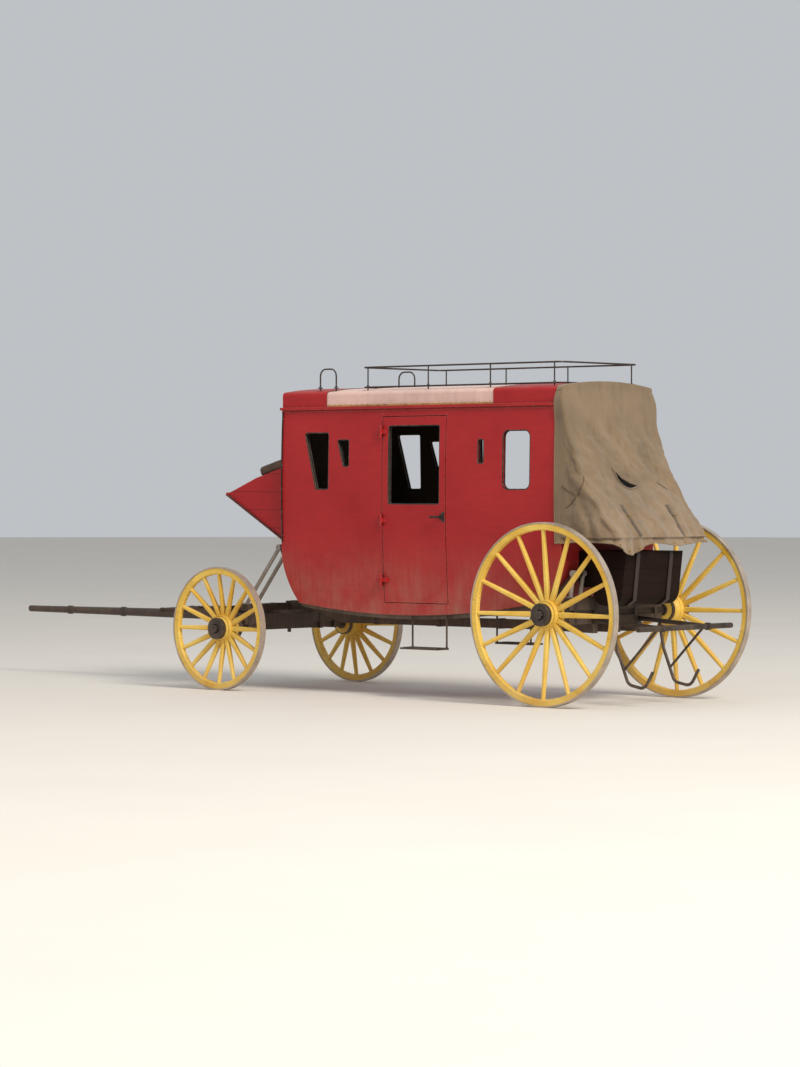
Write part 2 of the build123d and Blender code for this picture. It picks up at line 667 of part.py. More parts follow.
def perch():
    """The perch pole that joins the rear axle to the front bolster, with a hound each side at the rear."""
    drop = TOP_BOLSTER_Z + PERCH_RING_GAP - PERCH_BOTTOM_Z
    front = WHEELBASE - BED_WIDTH / 2
    rise_front = WHEELBASE - RING_OUT_R - PERCH_RING_CLEAR
    rise_back = rise_front - PERCH_RISE_LENGTH
    low, high = PERCH_BOTTOM_Z + drop, PERCH_TOP_Z + drop
    face = polygon((-PERCH_TAIL, PERCH_BOTTOM_Z), (rise_back, PERCH_BOTTOM_Z), (rise_front, low),
                   (front, low), (front, high), (rise_front, high), (rise_back, PERCH_TOP_Z),
                   (-PERCH_TAIL, PERCH_TOP_Z))
    beam = along_y(face, -PERCH_WIDTH / 2, PERCH_WIDTH / 2)
    outer_y = HOUND_REAR_Y + HOUND_REAR_WIDTH
    plan = polygon((-PERCH_TAIL, HOUND_REAR_Y), (-PERCH_TAIL, outer_y), (HOUND_REAR_REACH, PERCH_WIDTH / 2),
                   (HOUND_REAR_REACH, 0), (HOUND_REAR_REACH - PERCH_TAIL, 0))
    hound = extrude(Plane.XY.offset(PERCH_BOTTOM_Z) * plan, amount=PERCH_HEIGHT)
    return beam.fuse(hound, mirrored(hound))


def rear_bed():
    """The wooden bed under the rear axle and the bolster over it."""
    half = BED_WIDTH / 2
    width = (-REAR_BED_HALF, REAR_BED_HALF)
    low = block((-half, half), width, (PERCH_TOP_Z + SEAT_CLEAR, REAR_AXLE_Z - AXLE_BAR / 2))
    high = block((-half, half), width, (REAR_AXLE_Z + AXLE_BAR / 2, BOLSTER_TOP_REAR_Z))
    return Compound(children=[low, high])


def brace_ends():
    """Where the brace leaves the body at each end, with its direction, in X and Z."""
    rear = ThreePointArc((BODY_BACK, TURN_Z), REAR_TURN, REAR_LOW)
    front = ThreePointArc(FRONT_LOW, FRONT_TURN, (BODY_FRONT, TURN_Z))
    rear_point, rear_way = rear @ BRACE_REAR_LEAVE, (rear % BRACE_REAR_LEAVE) * -1
    front_point, front_way = front @ BRACE_FRONT_LEAVE, front % BRACE_FRONT_LEAVE
    return rear_point, rear_way, front_point, front_way


def tail_face(point, way, outward, length):
    """The straight tail of the brace from where it leaves the body, in X and Z."""
    inner = Vector(point.X, point.Y) + outward * BRACE_CLEAR - way.normalized()
    outer = inner + outward * BRACE_THICK
    far = way.normalized() * (length + 1)
    return polygon((inner.X, inner.Y), (outer.X, outer.Y), (outer.X + far.X, outer.Y + far.Y),
                   (inner.X + far.X, inner.Y + far.Y))


def outward_of(way, sign):
    """The direction at right angles to the brace, away from the body."""
    return Vector(way.Y * sign, -way.X * sign).normalized()


def thoroughbraces():
    """The two leather braces that hug the bottom of the cabin and run up to the standards."""
    rear_point, rear_way, front_point, front_way = brace_ends()
    near = offset(OUTLINE, amount=BRACE_CLEAR)
    far = offset(OUTLINE, amount=BRACE_CLEAR + BRACE_THICK)
    rear_out, front_out = outward_of(rear_way, -1), outward_of(front_way, 1)
    rear_far, front_far = rear_point + rear_out * 4 * BRACE_THICK, front_point + front_out * 4 * BRACE_THICK
    keep = polygon((rear_point.X, rear_point.Y), (rear_far.X, rear_far.Y), (rear_far.X, 0),
                   (front_far.X, 0), (front_far.X, front_far.Y), (front_point.X, front_point.Y))
    hug = (far - near) & keep
    face = hug + tail_face(rear_point, rear_way, rear_out, BRACE_TAIL_REAR)
    face += tail_face(front_point, front_way, front_out, BRACE_TAIL_FRONT)
    low = BRACE_Y - BRACE_WIDTH / 2
    brace = along_y(face, low, low + BRACE_WIDTH)
    return Compound(children=[brace, mirrored(brace)])


def standard(top, foot):
    """A forked iron stand: two legs beside the brace, joined by the shackle pin that holds it."""
    leg_r, pin_r = STANDARD_ROD / 2, SHACKLE_ROD / 2
    reach = BRACE_WIDTH / 2 + SHACKLE_CLEAR + leg_r
    base = Box(*STANDARD_FOOT, align=(Align.CENTER, Align.CENTER, Align.MIN))
    solid = rod((top.X, BRACE_Y - reach, top.Y), (top.X, BRACE_Y + reach, top.Y), pin_r)
    for side in (-1, 1):
        y = BRACE_Y + side * reach
        solid += rod((foot[0], y, foot[1]), (top.X, y, top.Y), leg_r)
        solid += rod((top.X, y - leg_r, top.Y), (top.X, y + leg_r, top.Y), pin_r + STANDARD_EYE)
        solid += Pos(foot[0], y, foot[1]) * base
    return solid - block((foot[0] - STANDARD_FOOT[0], foot[0] + STANDARD_FOOT[0]), (0, BIG), (0, foot[1]))


def brace_tips():
    """The far end of each tail, where the shackle pin sits, in X and Z."""
    rear_point, rear_way, front_point, front_way = brace_ends()
    tips = []
    for point, way, sign, length in ((rear_point, rear_way, -1, BRACE_TAIL_REAR),
                                     (front_point, front_way, 1, BRACE_TAIL_FRONT)):
        mid = Vector(point.X, point.Y) + outward_of(way, sign) * (BRACE_CLEAR + BRACE_THICK / 2)
        tips.append(mid + way.normalized() * (length + SHACKLE_ROD / 2 + SEAT_CLEAR))
    return tips


def standards():
    """The rear pair of standards on the rear bolster and the front pair on the top bolster."""
    rear_tip, front_tip = brace_tips()
    rear = standard(rear_tip, (0, BOLSTER_TOP_REAR_Z))
    front = standard(front_tip, (WHEELBASE, TOP_BOLSTER_TOP_Z))
    return Compound(children=[rear, mirrored(rear), front, mirrored(front)])


def top_bolster():
    """The fixed bolster over the turning ring."""
    ends = (WHEELBASE - BED_WIDTH / 2, WHEELBASE + BED_WIDTH / 2)
    beam = block(ends, (-TOP_BOLSTER_HALF, TOP_BOLSTER_HALF), (TOP_BOLSTER_Z, TOP_BOLSTER_TOP_Z))
    hole = rod((WHEELBASE, 0, 0), (WHEELBASE, 0, BIG), KINGPIN_R)
    return beam - hole


def ring(z):
    """A flat iron ring of the turning gear."""
    body = Cylinder(RING_OUT_R, RING_THICK) - Cylinder(RING_IN_R, RING_THICK + OVERRUN)
    return Pos(WHEELBASE, 0, z + RING_THICK / 2) * body


def kingpin():
    """The kingpin that the front gear turns on, with its head over the bolster."""
    low = FRONT_AXLE_Z - AXLE_BAR / 2 - KINGPIN_BELOW
    high = TOP_BOLSTER_TOP_Z + KINGPIN_HEAD
    pin = rod((WHEELBASE, 0, low), (WHEELBASE, 0, high), KINGPIN_R)
    head = rod((WHEELBASE, 0, TOP_BOLSTER_TOP_Z), (WHEELBASE, 0, high), KINGPIN_HEAD_R)
    return pin + head


PIN_HOLE = rod((WHEELBASE, 0, 0), (WHEELBASE, 0, BIG), KINGPIN_R + ARM_CLEAR)


def front_bed():
    """The wooden bed on the front axle that carries the lower ring."""
    half = BED_WIDTH / 2
    bed = block((WHEELBASE - half, WHEELBASE + half), (-FRONT_BED_HALF, FRONT_BED_HALF),
                (FRONT_AXLE_Z + AXLE_BAR / 2, FRONT_BED_TOP_Z))
    return bed - PIN_HOLE


def hounds():
    """The two hounds that hold the pole, let in ahead of the axle bed, with a cross bar."""
    start = WHEELBASE + BED_WIDTH / 2
    low = POLE_Z - HOUND_HEIGHT / 2
    high = POLE_Z + HOUND_HEIGHT / 2
    pole_half = POLE_BUTT / 2
    wide = polygon((start, HOUND_SPREAD), (start, HOUND_SPREAD + HOUND_WIDTH),
                   (WHEELBASE + HOUND_FRONT, pole_half + HOUND_WIDTH), (WHEELBASE + HOUND_FRONT, pole_half))
    one = extrude(Plane.XY.offset(low) * wide, amount=high - low)
    other = mirrored(one)
    return Compound(children=[one, other])


def pole():
    """The long tapered pole between the hounds, with a straight round tip."""
    start = WHEELBASE + BED_WIDTH / 2
    half = POLE_BUTT / 2
    low = Plane.YZ.offset(start) * (Pos(0, POLE_Z) * Rectangle(POLE_BUTT, POLE_BUTT))
    mid = Plane.YZ.offset(WHEELBASE + HOUND_FRONT) * (Pos(0, POLE_Z) * Rectangle(POLE_BUTT, POLE_BUTT))
    butt = loft([low, mid])
    shaft_low = Plane.YZ.offset(WHEELBASE + HOUND_FRONT) * (Pos(0, POLE_Z) * Circle(half))
    straight = POLE_TIP_X - POLE_TIP_STRAIGHT
    shaft_high = Plane.YZ.offset(straight) * (Pos(0, POLE_Z) * Circle(POLE_TIP_D / 2))
    tip = rod((straight, 0, POLE_Z), (POLE_TIP_X, 0, POLE_Z), POLE_TIP_D / 2)
    return butt.fuse(loft([shaft_low, shaft_high]), tip)


def evener():
    """The evener bar that lies across the pole."""
    x = WHEELBASE + EVENER_X
    low = POLE_Z + POLE_BUTT / 2
    face = polygon((x - EVENER_WIDTH / 2, -EVENER_HALF / 3), (x - EVENER_WIDTH / 2, EVENER_HALF / 3),
                   (x - EVENER_WIDTH / 4, EVENER_HALF), (x + EVENER_WIDTH / 2, EVENER_HALF),
                   (x + EVENER_WIDTH / 2, -EVENER_HALF), (x - EVENER_WIDTH / 4, -EVENER_HALF))
    return extrude(Plane.XY.offset(low) * face, amount=EVENER_HEIGHT)


def singletree(side):
    """One singletree, swelling at the middle, with a link to the evener and a trace pin at each end."""
    x = WHEELBASE + SINGLETREE_X
    z = POLE_Z + POLE_BUTT / 2 + EVENER_HEIGHT / 2
    y = side * SINGLETREE_Y
    end_r = SINGLETREE_R * SINGLETREE_END
    profile = polygon((0, -SINGLETREE_HALF), (end_r, -SINGLETREE_HALF), (SINGLETREE_R, 0),
                      (end_r, SINGLETREE_HALF), (0, SINGLETREE_HALF))
    bar = Pos(x, y, z) * revolve(profile, Axis.Y)
    link = rod((WHEELBASE + EVENER_X + EVENER_WIDTH / 2, y, z), (x, y, z), SINGLETREE_LINK_R)
    reach = SINGLETREE_HALF + TRACE_PIN_LENGTH
    pin = rod((x, y - reach, z), (x, y + reach, z), TRACE_PIN_R)
    return bar.fuse(link, pin)


def door_step():
    """The hanging step under the left door: a plate between two bent hangers."""
    solid = block((STEP_BACK, STEP_FRONT), STEP_Y, (STEP_Z, STEP_Z + STEP_PLATE))
    for x in (STEP_BACK + STEP_ROD, STEP_FRONT - STEP_ROD):
        y = STEP_Y[0] + STEP_ROD / 2
        solid += rod((x, y, STEP_Z + STEP_PLATE / 2), (x, y, DOOR_BOTTOM_Z), STEP_ROD / 2)
    return solid - along_y(OUTLINE, -BIG, BIG)


def rear_bumper():
    """The round rear crossbar, its two collared arms, and the hooked iron under each arm."""
    bar = rod((BUMPER_X, -BUMPER_HALF, BUMPER_Z), (BUMPER_X, BUMPER_HALF, BUMPER_Z), BUMPER_D / 2)
    parts = []
    for y in (BUMPER_ARM_Y, -BUMPER_ARM_Y):
        arm = rod((BUMPER_X, y, BUMPER_Z), (0, y, BUMPER_Z + BUMPER_ARM_RISE), BUMPER_ARM_R)
        half = BUMPER_COLLAR_LENGTH / 2
        collar = rod((BUMPER_X, y - half, BUMPER_Z), (BUMPER_X, y + half, BUMPER_Z), BUMPER_COLLAR_R)
        path = FilletPolyline(*[(x, y, z) for x, z in BOOT_IRON], radius=BOOT_IRON_BEND)
        section = Plane(origin=path @ 0, z_dir=path % 0) * RegularPolygon(BOOT_IRON_R, ROD_SIDES)
        hook = sweep(section, path=path)
        (back, high), (front, low) = BOOT_IRON_LINK
        link = rod((back, y, high), (front, y, low), BOOT_IRON_LINK_R)
        parts += [arm, collar, hook, link]
    return bar.fuse(*parts) - block((-BED_WIDTH / 2, BIG), (-BIG, BIG), (0, BIG))


NODES = {}


def add(name, shape):
    """Keep one named piece, moved to the shared origin."""
    solids = [Pos(-X_MIDDLE, 0, 0) * solid for solid in shape.solids()]
    NODES[name] = solids[0] if len(solids) == 1 else Compound(solids)


def add_pair(name, shape):
    """Keep a left piece and its mirror image on the right."""
    add(name + "_left", shape)
    add(name + "_right", mirrored(shape))


def build():
    """Make every piece of the coach."""
    add_pair("quarter_front", quarter(DOOR_HOLE[0][1], BODY_FRONT, (FRONT_WINDOW, FRONT_SLOT)))
    add_pair("quarter_rear", quarter(BODY_BACK, DOOR_HOLE[0][0], (REAR_WINDOW, REAR_SLOT)))
    add_pair("door", door())
    add_pair("door_irons", door_irons())
    add("hinge_knuckles", Compound(children=[hinge_knuckles(), mirrored(hinge_knuckles())]))
    add("body_floor", body_floor())
    add("end_walls", Compound(children=[end_wall(True), end_wall(False)]))
    add("roof_frame", roof_frame())
    add("roof_ends", Compound(children=[crown(ROOF_FRONT_RED, BODY_FRONT), crown(BODY_BACK, ROOF_REAR_RED)]))
    add("roof_canvas", crown(ROOF_REAR_RED, ROOF_FRONT_RED, CANVAS_DROP))
    add("roof_rails", roof_rails())
    add("driver_box", driver_box())
    add("driver_cushion", driver_cushion())
    add("benches", Compound(children=[bench(True), bench(False)]))
    add("bench_cushions", Compound(children=bench_cushions(True) + bench_cushions(False)))
    add("rear_boot", rear_boot())
    add("boot_cover", boot_cover())
    add("rear_bumper", rear_bumper())
    add("thoroughbraces", thoroughbraces())
    add("standards", standards())
    add("perch", perch())
    add("rear_bed", rear_bed())
    add("rear_axle", axle(0, REAR_AXLE_Z))
    add("top_bolster", top_bolster())
    add("turning_irons", Compound(children=[ring(UPPER_RING_Z), kingpin()]))
    add("door_steps", Compound(children=[door_step(), mirrored(door_step())]))
    add("front_axle", axle(WHEELBASE, FRONT_AXLE_Z) - PIN_HOLE)
    add("front_bed", front_bed())
    add("lower_ring", ring(FRONT_BED_TOP_Z))
    add("hounds", hounds())
    add("pole", pole())
    add("evener", evener())
    add("singletrees", Compound(children=[singletree(1), singletree(-1)]))
    for end, x, diameter in (("rear", 0, REAR_WHEEL_D), ("front", WHEELBASE, FRONT_WHEEL_D)):
        wood, tyre, bands = wheel_wood(diameter), wheel_tyre(diameter), hub_bands()
        for side, sign in (("left", 1), ("right", -1)):
            place = Pos(x, sign * RIM_Y, diameter / 2) * Rot(-90 * sign, 0, 0)
            add(f"wheel_{end}_{side}", place * wood)
            add(f"tyre_{end}_{side}", place * tyre)
            add(f"hub_bands_{end}_{side}", place * bands)


build()
os.makedirs("parts", exist_ok=True)
for name, shape in NODES.items():
    export_step(shape, f"parts/{name}.step")
print(len(NODES), "nodes")
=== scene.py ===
"""Looks of the stagecoach: paint, canvas, leather, iron trim, floor, light and camera.

The frame is loaded first. Each operator then makes one piece, or one group of like pieces, over the solids.
"""

from math import atan2, cos, exp, hypot, pi, radians, sin, sqrt

import bmesh
import bpy
from mathutils import Matrix, Vector, noise


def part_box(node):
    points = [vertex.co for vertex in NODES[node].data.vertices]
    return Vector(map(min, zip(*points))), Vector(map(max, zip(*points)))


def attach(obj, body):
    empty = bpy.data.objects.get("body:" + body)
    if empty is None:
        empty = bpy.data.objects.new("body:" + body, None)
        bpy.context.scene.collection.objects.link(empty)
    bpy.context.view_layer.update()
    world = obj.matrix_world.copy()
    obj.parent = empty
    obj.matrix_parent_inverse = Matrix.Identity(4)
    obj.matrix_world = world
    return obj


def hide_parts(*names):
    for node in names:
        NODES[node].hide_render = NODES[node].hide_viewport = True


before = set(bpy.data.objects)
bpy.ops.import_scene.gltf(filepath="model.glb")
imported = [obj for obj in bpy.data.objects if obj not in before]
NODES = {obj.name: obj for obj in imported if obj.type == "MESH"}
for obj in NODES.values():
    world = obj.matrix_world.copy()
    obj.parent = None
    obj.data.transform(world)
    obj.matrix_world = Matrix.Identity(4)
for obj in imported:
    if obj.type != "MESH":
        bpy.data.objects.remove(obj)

bl_info = {
    "name": "Stagecoach looks",
    "version": (1, 0, 0),
    "blender": (4, 5, 0),
    "location": "3D View > Sidebar > Stagecoach",
    "description": "Dresses a stagecoach with worn paint, canvas, leather and iron trim",
    "category": "Object",
}

SIDES = (("left", 1), ("right", -1))

# The cabin's barrelled sides: half width at the belt, height of the belt, radius of the curve
BELT_HALF, BELT_Z, BARREL = 0.607, 1.7, 12.0


def middle(node):
    low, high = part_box(node)
    return (low + high) / 2


AXLE_X = middle("tyre_rear_left").x
FRONT_AXLE_X = middle("tyre_front_left").x


def at(x, y, z):
    """A point from millimetres, with X measured from the rear axle, as in the source of the solids."""
    return Vector((AXLE_X + x / 1000, y / 1000, z / 1000))


def side_y(z):
    """How far out the side of the cabin is at a height, in metres."""
    return BELT_HALF - BARREL + sqrt(BARREL ** 2 - (z - BELT_Z) ** 2)


def on_side(x, sign, z, lift=0.0):
    """A point on the side of the cabin or above it, from millimetres."""
    return at(x, sign * (side_y(z / 1000) * 1000 + lift), z)


# Sizes and colours that a user would change

def length(name, description, default):
    return bpy.props.FloatProperty(name=name, description=description, default=default, min=0.0005, max=1,
                                   subtype="DISTANCE", unit="LENGTH")


def share(name, description, default):
    return bpy.props.FloatProperty(name=name, description=description, default=default, min=0, max=1,
                                   subtype="FACTOR")


def colour(name, description, default):
    return bpy.props.FloatVectorProperty(name=name, description=description, default=default, min=0, max=1,
                                         size=3, subtype="COLOR")


class PaintSettings(bpy.types.PropertyGroup):
    """Colours and wear of the painted wood."""
    body: colour("Body", "Crimson of the cabin", (0.345, 0.007, 0.009))
    body_faded: colour("Faded body", "Crimson where the sun has bleached it", (0.43, 0.016, 0.018))
    wheels: colour("Wheels", "Yellow of the wheels", (0.72, 0.40, 0.035))
    gear: colour("Running gear", "Dark paint of the beams and pole", (0.035, 0.021, 0.015))
    dust: colour("Dust", "Road dust", (0.40, 0.29, 0.20))
    dust_amount: share("Dust amount", "How much road dust lies on the lower parts", 0.6)
    wear: share("Edge wear", "How far the edges are rubbed", 0.55)


class ClothSettings(bpy.types.PropertyGroup):
    """The rear cover, the roof canvas and the leather."""
    canvas: colour("Cover", "Tan canvas of the rear cover", (0.200, 0.135, 0.074))
    roof: colour("Roof", "Pale painted canvas of the roof", (0.78, 0.51, 0.435))
    leather: colour("Leather", "Dark leather of cushions and straps", (0.045, 0.022, 0.012))
    thickness: length("Canvas thickness", "Thickness of the rear cover", 0.004)
    fold: length("Fold depth", "Depth of the folds in the rear cover", 0.026)
    threads: bpy.props.FloatProperty(name="Threads", description="Threads of the canvas in each metre",
                                     default=900, min=100, max=4000)


class IronSettings(bpy.types.PropertyGroup):
    """Bands, bolts and trim."""
    bolt: length("Bolt head", "Radius of a bolt head", 0.009)
    band: length("Band", "Thickness of the iron bands", 0.005)
    bead: length("Bead", "Radius of the half-round beads on the cabin", 0.006)
    iron: colour("Iron", "Blacked iron", (0.028, 0.024, 0.022))
    tyre: colour("Tyre", "Iron tyre, dusty and rubbed", (0.34, 0.285, 0.235))


def paint():
    return bpy.context.scene.coach_paint


def cloth():
    return bpy.context.scene.coach_cloth


def iron():
    return bpy.context.scene.coach_iron


# Shader nodes

def place(tree, kind, inputs=None, **settings):
    """Add a shader node, set its own values and link or set its inputs."""
    node = tree.nodes.new(kind)
    for key, value in settings.items():
        setattr(node, key, value)
    for key, value in (inputs or {}).items():
        if isinstance(value, bpy.types.NodeSocket):
            tree.links.new(value, node.inputs[key])
        else:
            node.inputs[key].default_value = value
    return node


def maths(tree, operation, a, b=0.5, clamp=False):
    return place(tree, "ShaderNodeMath", {0: a, 1: b}, operation=operation, use_clamp=clamp).outputs[0]


def times(tree, a, b, clamp=False):
    return maths(tree, "MULTIPLY", a, b, clamp)


def dot(tree, a, b):
    return place(tree, "ShaderNodeVectorMath", {0: a, 1: b}, operation="DOT_PRODUCT").outputs["Value"]


def mix_colour(tree, factor, a, b):
    return place(tree, "ShaderNodeMix", {0: factor, 6: a, 7: b}, data_type="RGBA").outputs[2]


def ramp(tree, value, low, high, to_low=0.0, to_high=1.0):
    return place(tree, "ShaderNodeMapRange", {0: value, 1: low, 2: high, 3: to_low, 4: to_high}).outputs[0]


def where(tree, kind="Object"):
    return place(tree, "ShaderNodeTexCoord").outputs[kind]


def cloud(tree, scale, detail, stretch=(1, 1, 1)):
    """Noise in the object's own space, drawn out along its axes."""
    moved = place(tree, "ShaderNodeMapping", {"Vector": where(tree), "Scale": stretch}).outputs[0]
    return place(tree, "ShaderNodeTexNoise", {"Vector": moved, "Scale": scale, "Detail": detail}).outputs[0]


def group(name, inputs, outputs):
    """A new node group with named sockets: its tree, what its input gives and what its output takes."""
    tree = bpy.data.node_groups.new(name, "ShaderNodeTree")
    for socket, default in inputs:
        made = tree.interface.new_socket(socket, in_out="INPUT", socket_type="NodeSocketFloat")
        made.default_value = default
    for socket in outputs:
        tree.interface.new_socket(socket, in_out="OUTPUT", socket_type="NodeSocketFloat")
    return tree, tree.nodes.new("NodeGroupInput").outputs, tree.nodes.new("NodeGroupOutput").inputs


def worn_edges():
    """Rubbed edges: where a bevelled normal leaves the true one, broken up by noise."""
    tree, given, out = group("Worn edges", [("Width", 0.01), ("Amount", 0.5)], ["Edge"])
    bevel = place(tree, "ShaderNodeBevel", {"Radius": given["Width"]}, samples=4).outputs[0]
    true = place(tree, "ShaderNodeNewGeometry").outputs["Normal"]
    edge = ramp(tree, dot(tree, bevel, true), 0.995, 0.86)
    broken = ramp(tree, cloud(tree, 38, 6), 0.38, 0.62)
    tree.links.new(times(tree, times(tree, edge, broken), given["Amount"], clamp=True), out["Edge"])
    return tree


def road_dust():
    """Dust thrown up from the road: thick low down, thin higher, and lying on what faces up."""
    tree, given, out = group("Road dust", [("Low", 0.3), ("High", 1.2), ("Amount", 0.5)], ["Dust"])
    height = place(tree, "ShaderNodeSeparateXYZ", {0: where(tree)}).outputs[2]
    upward = place(tree, "ShaderNodeSeparateXYZ", {0: where(tree, "Normal")}).outputs[2]
    fall = place(tree, "ShaderNodeMapRange", {0: height, 1: given["High"], 2: given["Low"]},
                 interpolation_type="SMOOTHSTEP").outputs[0]
    lying = times(tree, ramp(tree, upward, 0.3, 0.95), 0.55)
    patches = ramp(tree, cloud(tree, 5.5, 8), 0.3, 0.72, 0.25, 1.0)
    streaks = ramp(tree, cloud(tree, 9, 3, (3, 3, 0.35)), 0.35, 0.7, 0.55, 1.0)
    mask = times(tree, times(tree, maths(tree, "MAXIMUM", fall, lying), patches), streaks)
    tree.links.new(times(tree, mask, given["Amount"], clamp=True), out["Dust"])
    return tree


def broken_tone():
    """Large patches of lighter and darker colour, and the fine marks of the brush or the grain."""
    tree, given, out = group("Broken tone", [("Scale", 2.0), ("Grain scale", 40.0)], ["Tone", "Grain"])
    here = where(tree)
    large = place(tree, "ShaderNodeTexNoise", {"Vector": here, "Scale": given["Scale"], "Detail": 5.0})
    drawn = place(tree, "ShaderNodeMapping", {"Vector": here, "Scale": (0.25, 1, 1.6)}).outputs[0]
    fine = place(tree, "ShaderNodeTexNoise", {"Vector": drawn, "Scale": given["Grain scale"], "Detail": 6.0})
    tree.links.new(ramp(tree, large.outputs[0], 0.3, 0.7), out["Tone"])
    tree.links.new(fine.outputs[0], out["Grain"])
    return tree


def board_joints():
    """Dark joints between boards laid side by side along one axis."""
    axes = [("Along X", 0.0), ("Along Y", 1.0), ("Along Z", 0.0)]
    tree, given, out = group("Board joints", axes + [("Width", 0.12)], ["Joint"])
    axis = place(tree, "ShaderNodeCombineXYZ", {k: given[k] for k in range(3)})
    run = dot(tree, where(tree), axis.outputs[0])
    part = maths(tree, "FRACT", maths(tree, "DIVIDE", run, given["Width"]))
    off = maths(tree, "ABSOLUTE", maths(tree, "SUBTRACT", part, 0.5))
    tree.links.new(ramp(tree, off, 0.474, 0.494), out["Joint"])
    return tree


def canvas_weave():
    """Warp and weft, with a slub here and there."""
    tree, given, out = group("Canvas weave", [("Threads", 900.0)], ["Height"])
    axes = place(tree, "ShaderNodeSeparateXYZ", {0: where(tree)}).outputs
    turn = times(tree, given["Threads"], 2 * pi)
    waves = [maths(tree, "SINE", times(tree, axis, turn)) for axis in axes]
    total = maths(tree, "ADD", maths(tree, "ADD", waves[0], waves[1]), waves[2])
    tree.links.new(maths(tree, "ADD", times(tree, total, 0.12), cloud(tree, 60, 4)), out["Height"])
    return tree


def hide_grain():
    """Pebbled leather with creases."""
    tree, given, out = group("Hide grain", [("Scale", 260.0)], ["Height", "Crease"])
    inputs = {"Vector": where(tree), "Scale": given["Scale"]}
    cells = place(tree, "ShaderNodeTexVoronoi", inputs, feature="F1")
    tree.links.new(cells.outputs[0], out["Height"])
    tree.links.new(ramp(tree, cloud(tree, 14, 8), 0.47, 0.53), out["Crease"])
    return tree


def cabin_inside():
    """One where a surface faces the middle of the cabin, and nought on its outside."""
    tree, given, out = group("Cabin inside", [("Middle X", 0.0), ("Middle Z", 1.5)], ["Inside"])
    centre = place(tree, "ShaderNodeCombineXYZ", {0: given["Middle X"], 2: given["Middle Z"]}).outputs[0]
    away = place(tree, "ShaderNodeVectorMath", {0: where(tree), 1: centre}, operation="SUBTRACT").outputs[0]
    tree.links.new(ramp(tree, dot(tree, away, where(tree, "Normal")), 0.02, -0.02), out["Inside"])
    return tree


EFFECTS = {"edges": worn_edges, "dust": road_dust, "tone": broken_tone, "boards": board_joints,
           "weave": canvas_weave, "hide": hide_grain, "inside": cabin_inside}
MADE = {}


def effect(tree, name, **values):
    """Put a shared effect into a material. Its group is made on first use."""
    if name not in MADE:
        MADE[name] = EFFECTS[name]()
    node = tree.nodes.new("ShaderNodeGroup")
    node.node_tree = MADE[name]
    for key, value in values.items():
        node.inputs[key.replace("_", " ")].default_value = value
    return node.outputs


# Materials

def material(name, **fixed):
    """A new material, its tree and its shader, with the values that are the same all over it."""
    made = bpy.data.materials.new(name)
    made.use_nodes = True
    shader = made.node_tree.nodes["Principled BSDF"]
    for key, value in fixed.items():
        shader.inputs[key.replace("_", " ")].default_value = value
    return made, made.node_tree, shader


def dress(tree, shader, base, rough, height, strength=0.3, distance=0.002, metal=None):
    """Link a material's colour, roughness, bump and metal."""
    tree.links.new(base, shader.inputs["Base Color"])
    tree.links.new(rough, shader.inputs["Roughness"])
    if metal is not None:
        tree.links.new(metal, shader.inputs["Metallic"])
    bump = place(tree, "ShaderNodeBump", {"Height": height, "Strength": strength, "Distance": distance})
    tree.links.new(bump.outputs[0], shader.inputs["Normal"])


def rgb(value, factor=1.0):
    return tuple(min(1.0, channel * factor) for channel in value) + (1.0,)


def rubbed(tree, base, bare, width):
    """Show a bare colour along the edges."""
    return mix_colour(tree, effect(tree, "edges", Width=width, Amount=paint().wear)["Edge"], base, bare)


def dusty(tree, base, low, high, dust):
    """Lay road dust over a colour. Returns the colour and the mask."""
    mask = effect(tree, "dust", Low=low, High=high, Amount=paint().dust_amount * dust)["Dust"]
    return mix_colour(tree, mask, base, rgb(paint().dust)), mask


def jointed(tree, base, height, boards, depth, dark):
    """Dark, sunk joints between boards. Returns the colour and the height."""
    joint = effect(tree, "boards", **boards)["Joint"]
    return mix_colour(tree, times(tree, joint, depth), base, dark), \
        maths(tree, "SUBTRACT", height, times(tree, joint, 2.0))


def painted(name, fresh, faded, bare, low, high, inner=None, coat=0.06, tone_scale=1.6, grain=34.0,
            boards=None, dust=1.0, edge=0.008):
    """Painted wood: fading, brush marks, rubbed edges, road dust and, for the cabin, a bare inner face."""
    made, tree, shader = material(name, Coat_Weight=coat, Coat_Roughness=0.4, Specular_IOR_Level=0.28)
    tone = effect(tree, "tone", Scale=tone_scale, Grain_scale=grain)
    base = mix_colour(tree, tone["Tone"], rgb(fresh), rgb(faded))
    base = mix_colour(tree, ramp(tree, tone["Grain"], 0.35, 0.75, 0.0, 0.22), base, rgb(fresh, 0.45))
    base = rubbed(tree, base, rgb(bare), edge)
    height = tone["Grain"]
    if boards:
        base, height = jointed(tree, base, height, boards, 0.75, rgb(fresh, 0.12))
    base, mask = dusty(tree, base, low, high, dust)
    rough = ramp(tree, tone["Tone"], 0, 1, 0.38, 0.58)
    rough = maths(tree, "ADD", rough, times(tree, mask, 0.35), clamp=True)
    if inner:
        inside = effect(tree, "inside", Middle_X=middle("body_floor").x, Middle_Z=1.5)["Inside"]
        base = mix_colour(tree, inside, base, mix_colour(tree, tone["Grain"], rgb(inner), rgb(inner, 0.4)))
        rough = maths(tree, "ADD", rough, times(tree, inside, 0.25), clamp=True)
    dress(tree, shader, base, rough, height, 0.22, 0.0015)
    return made


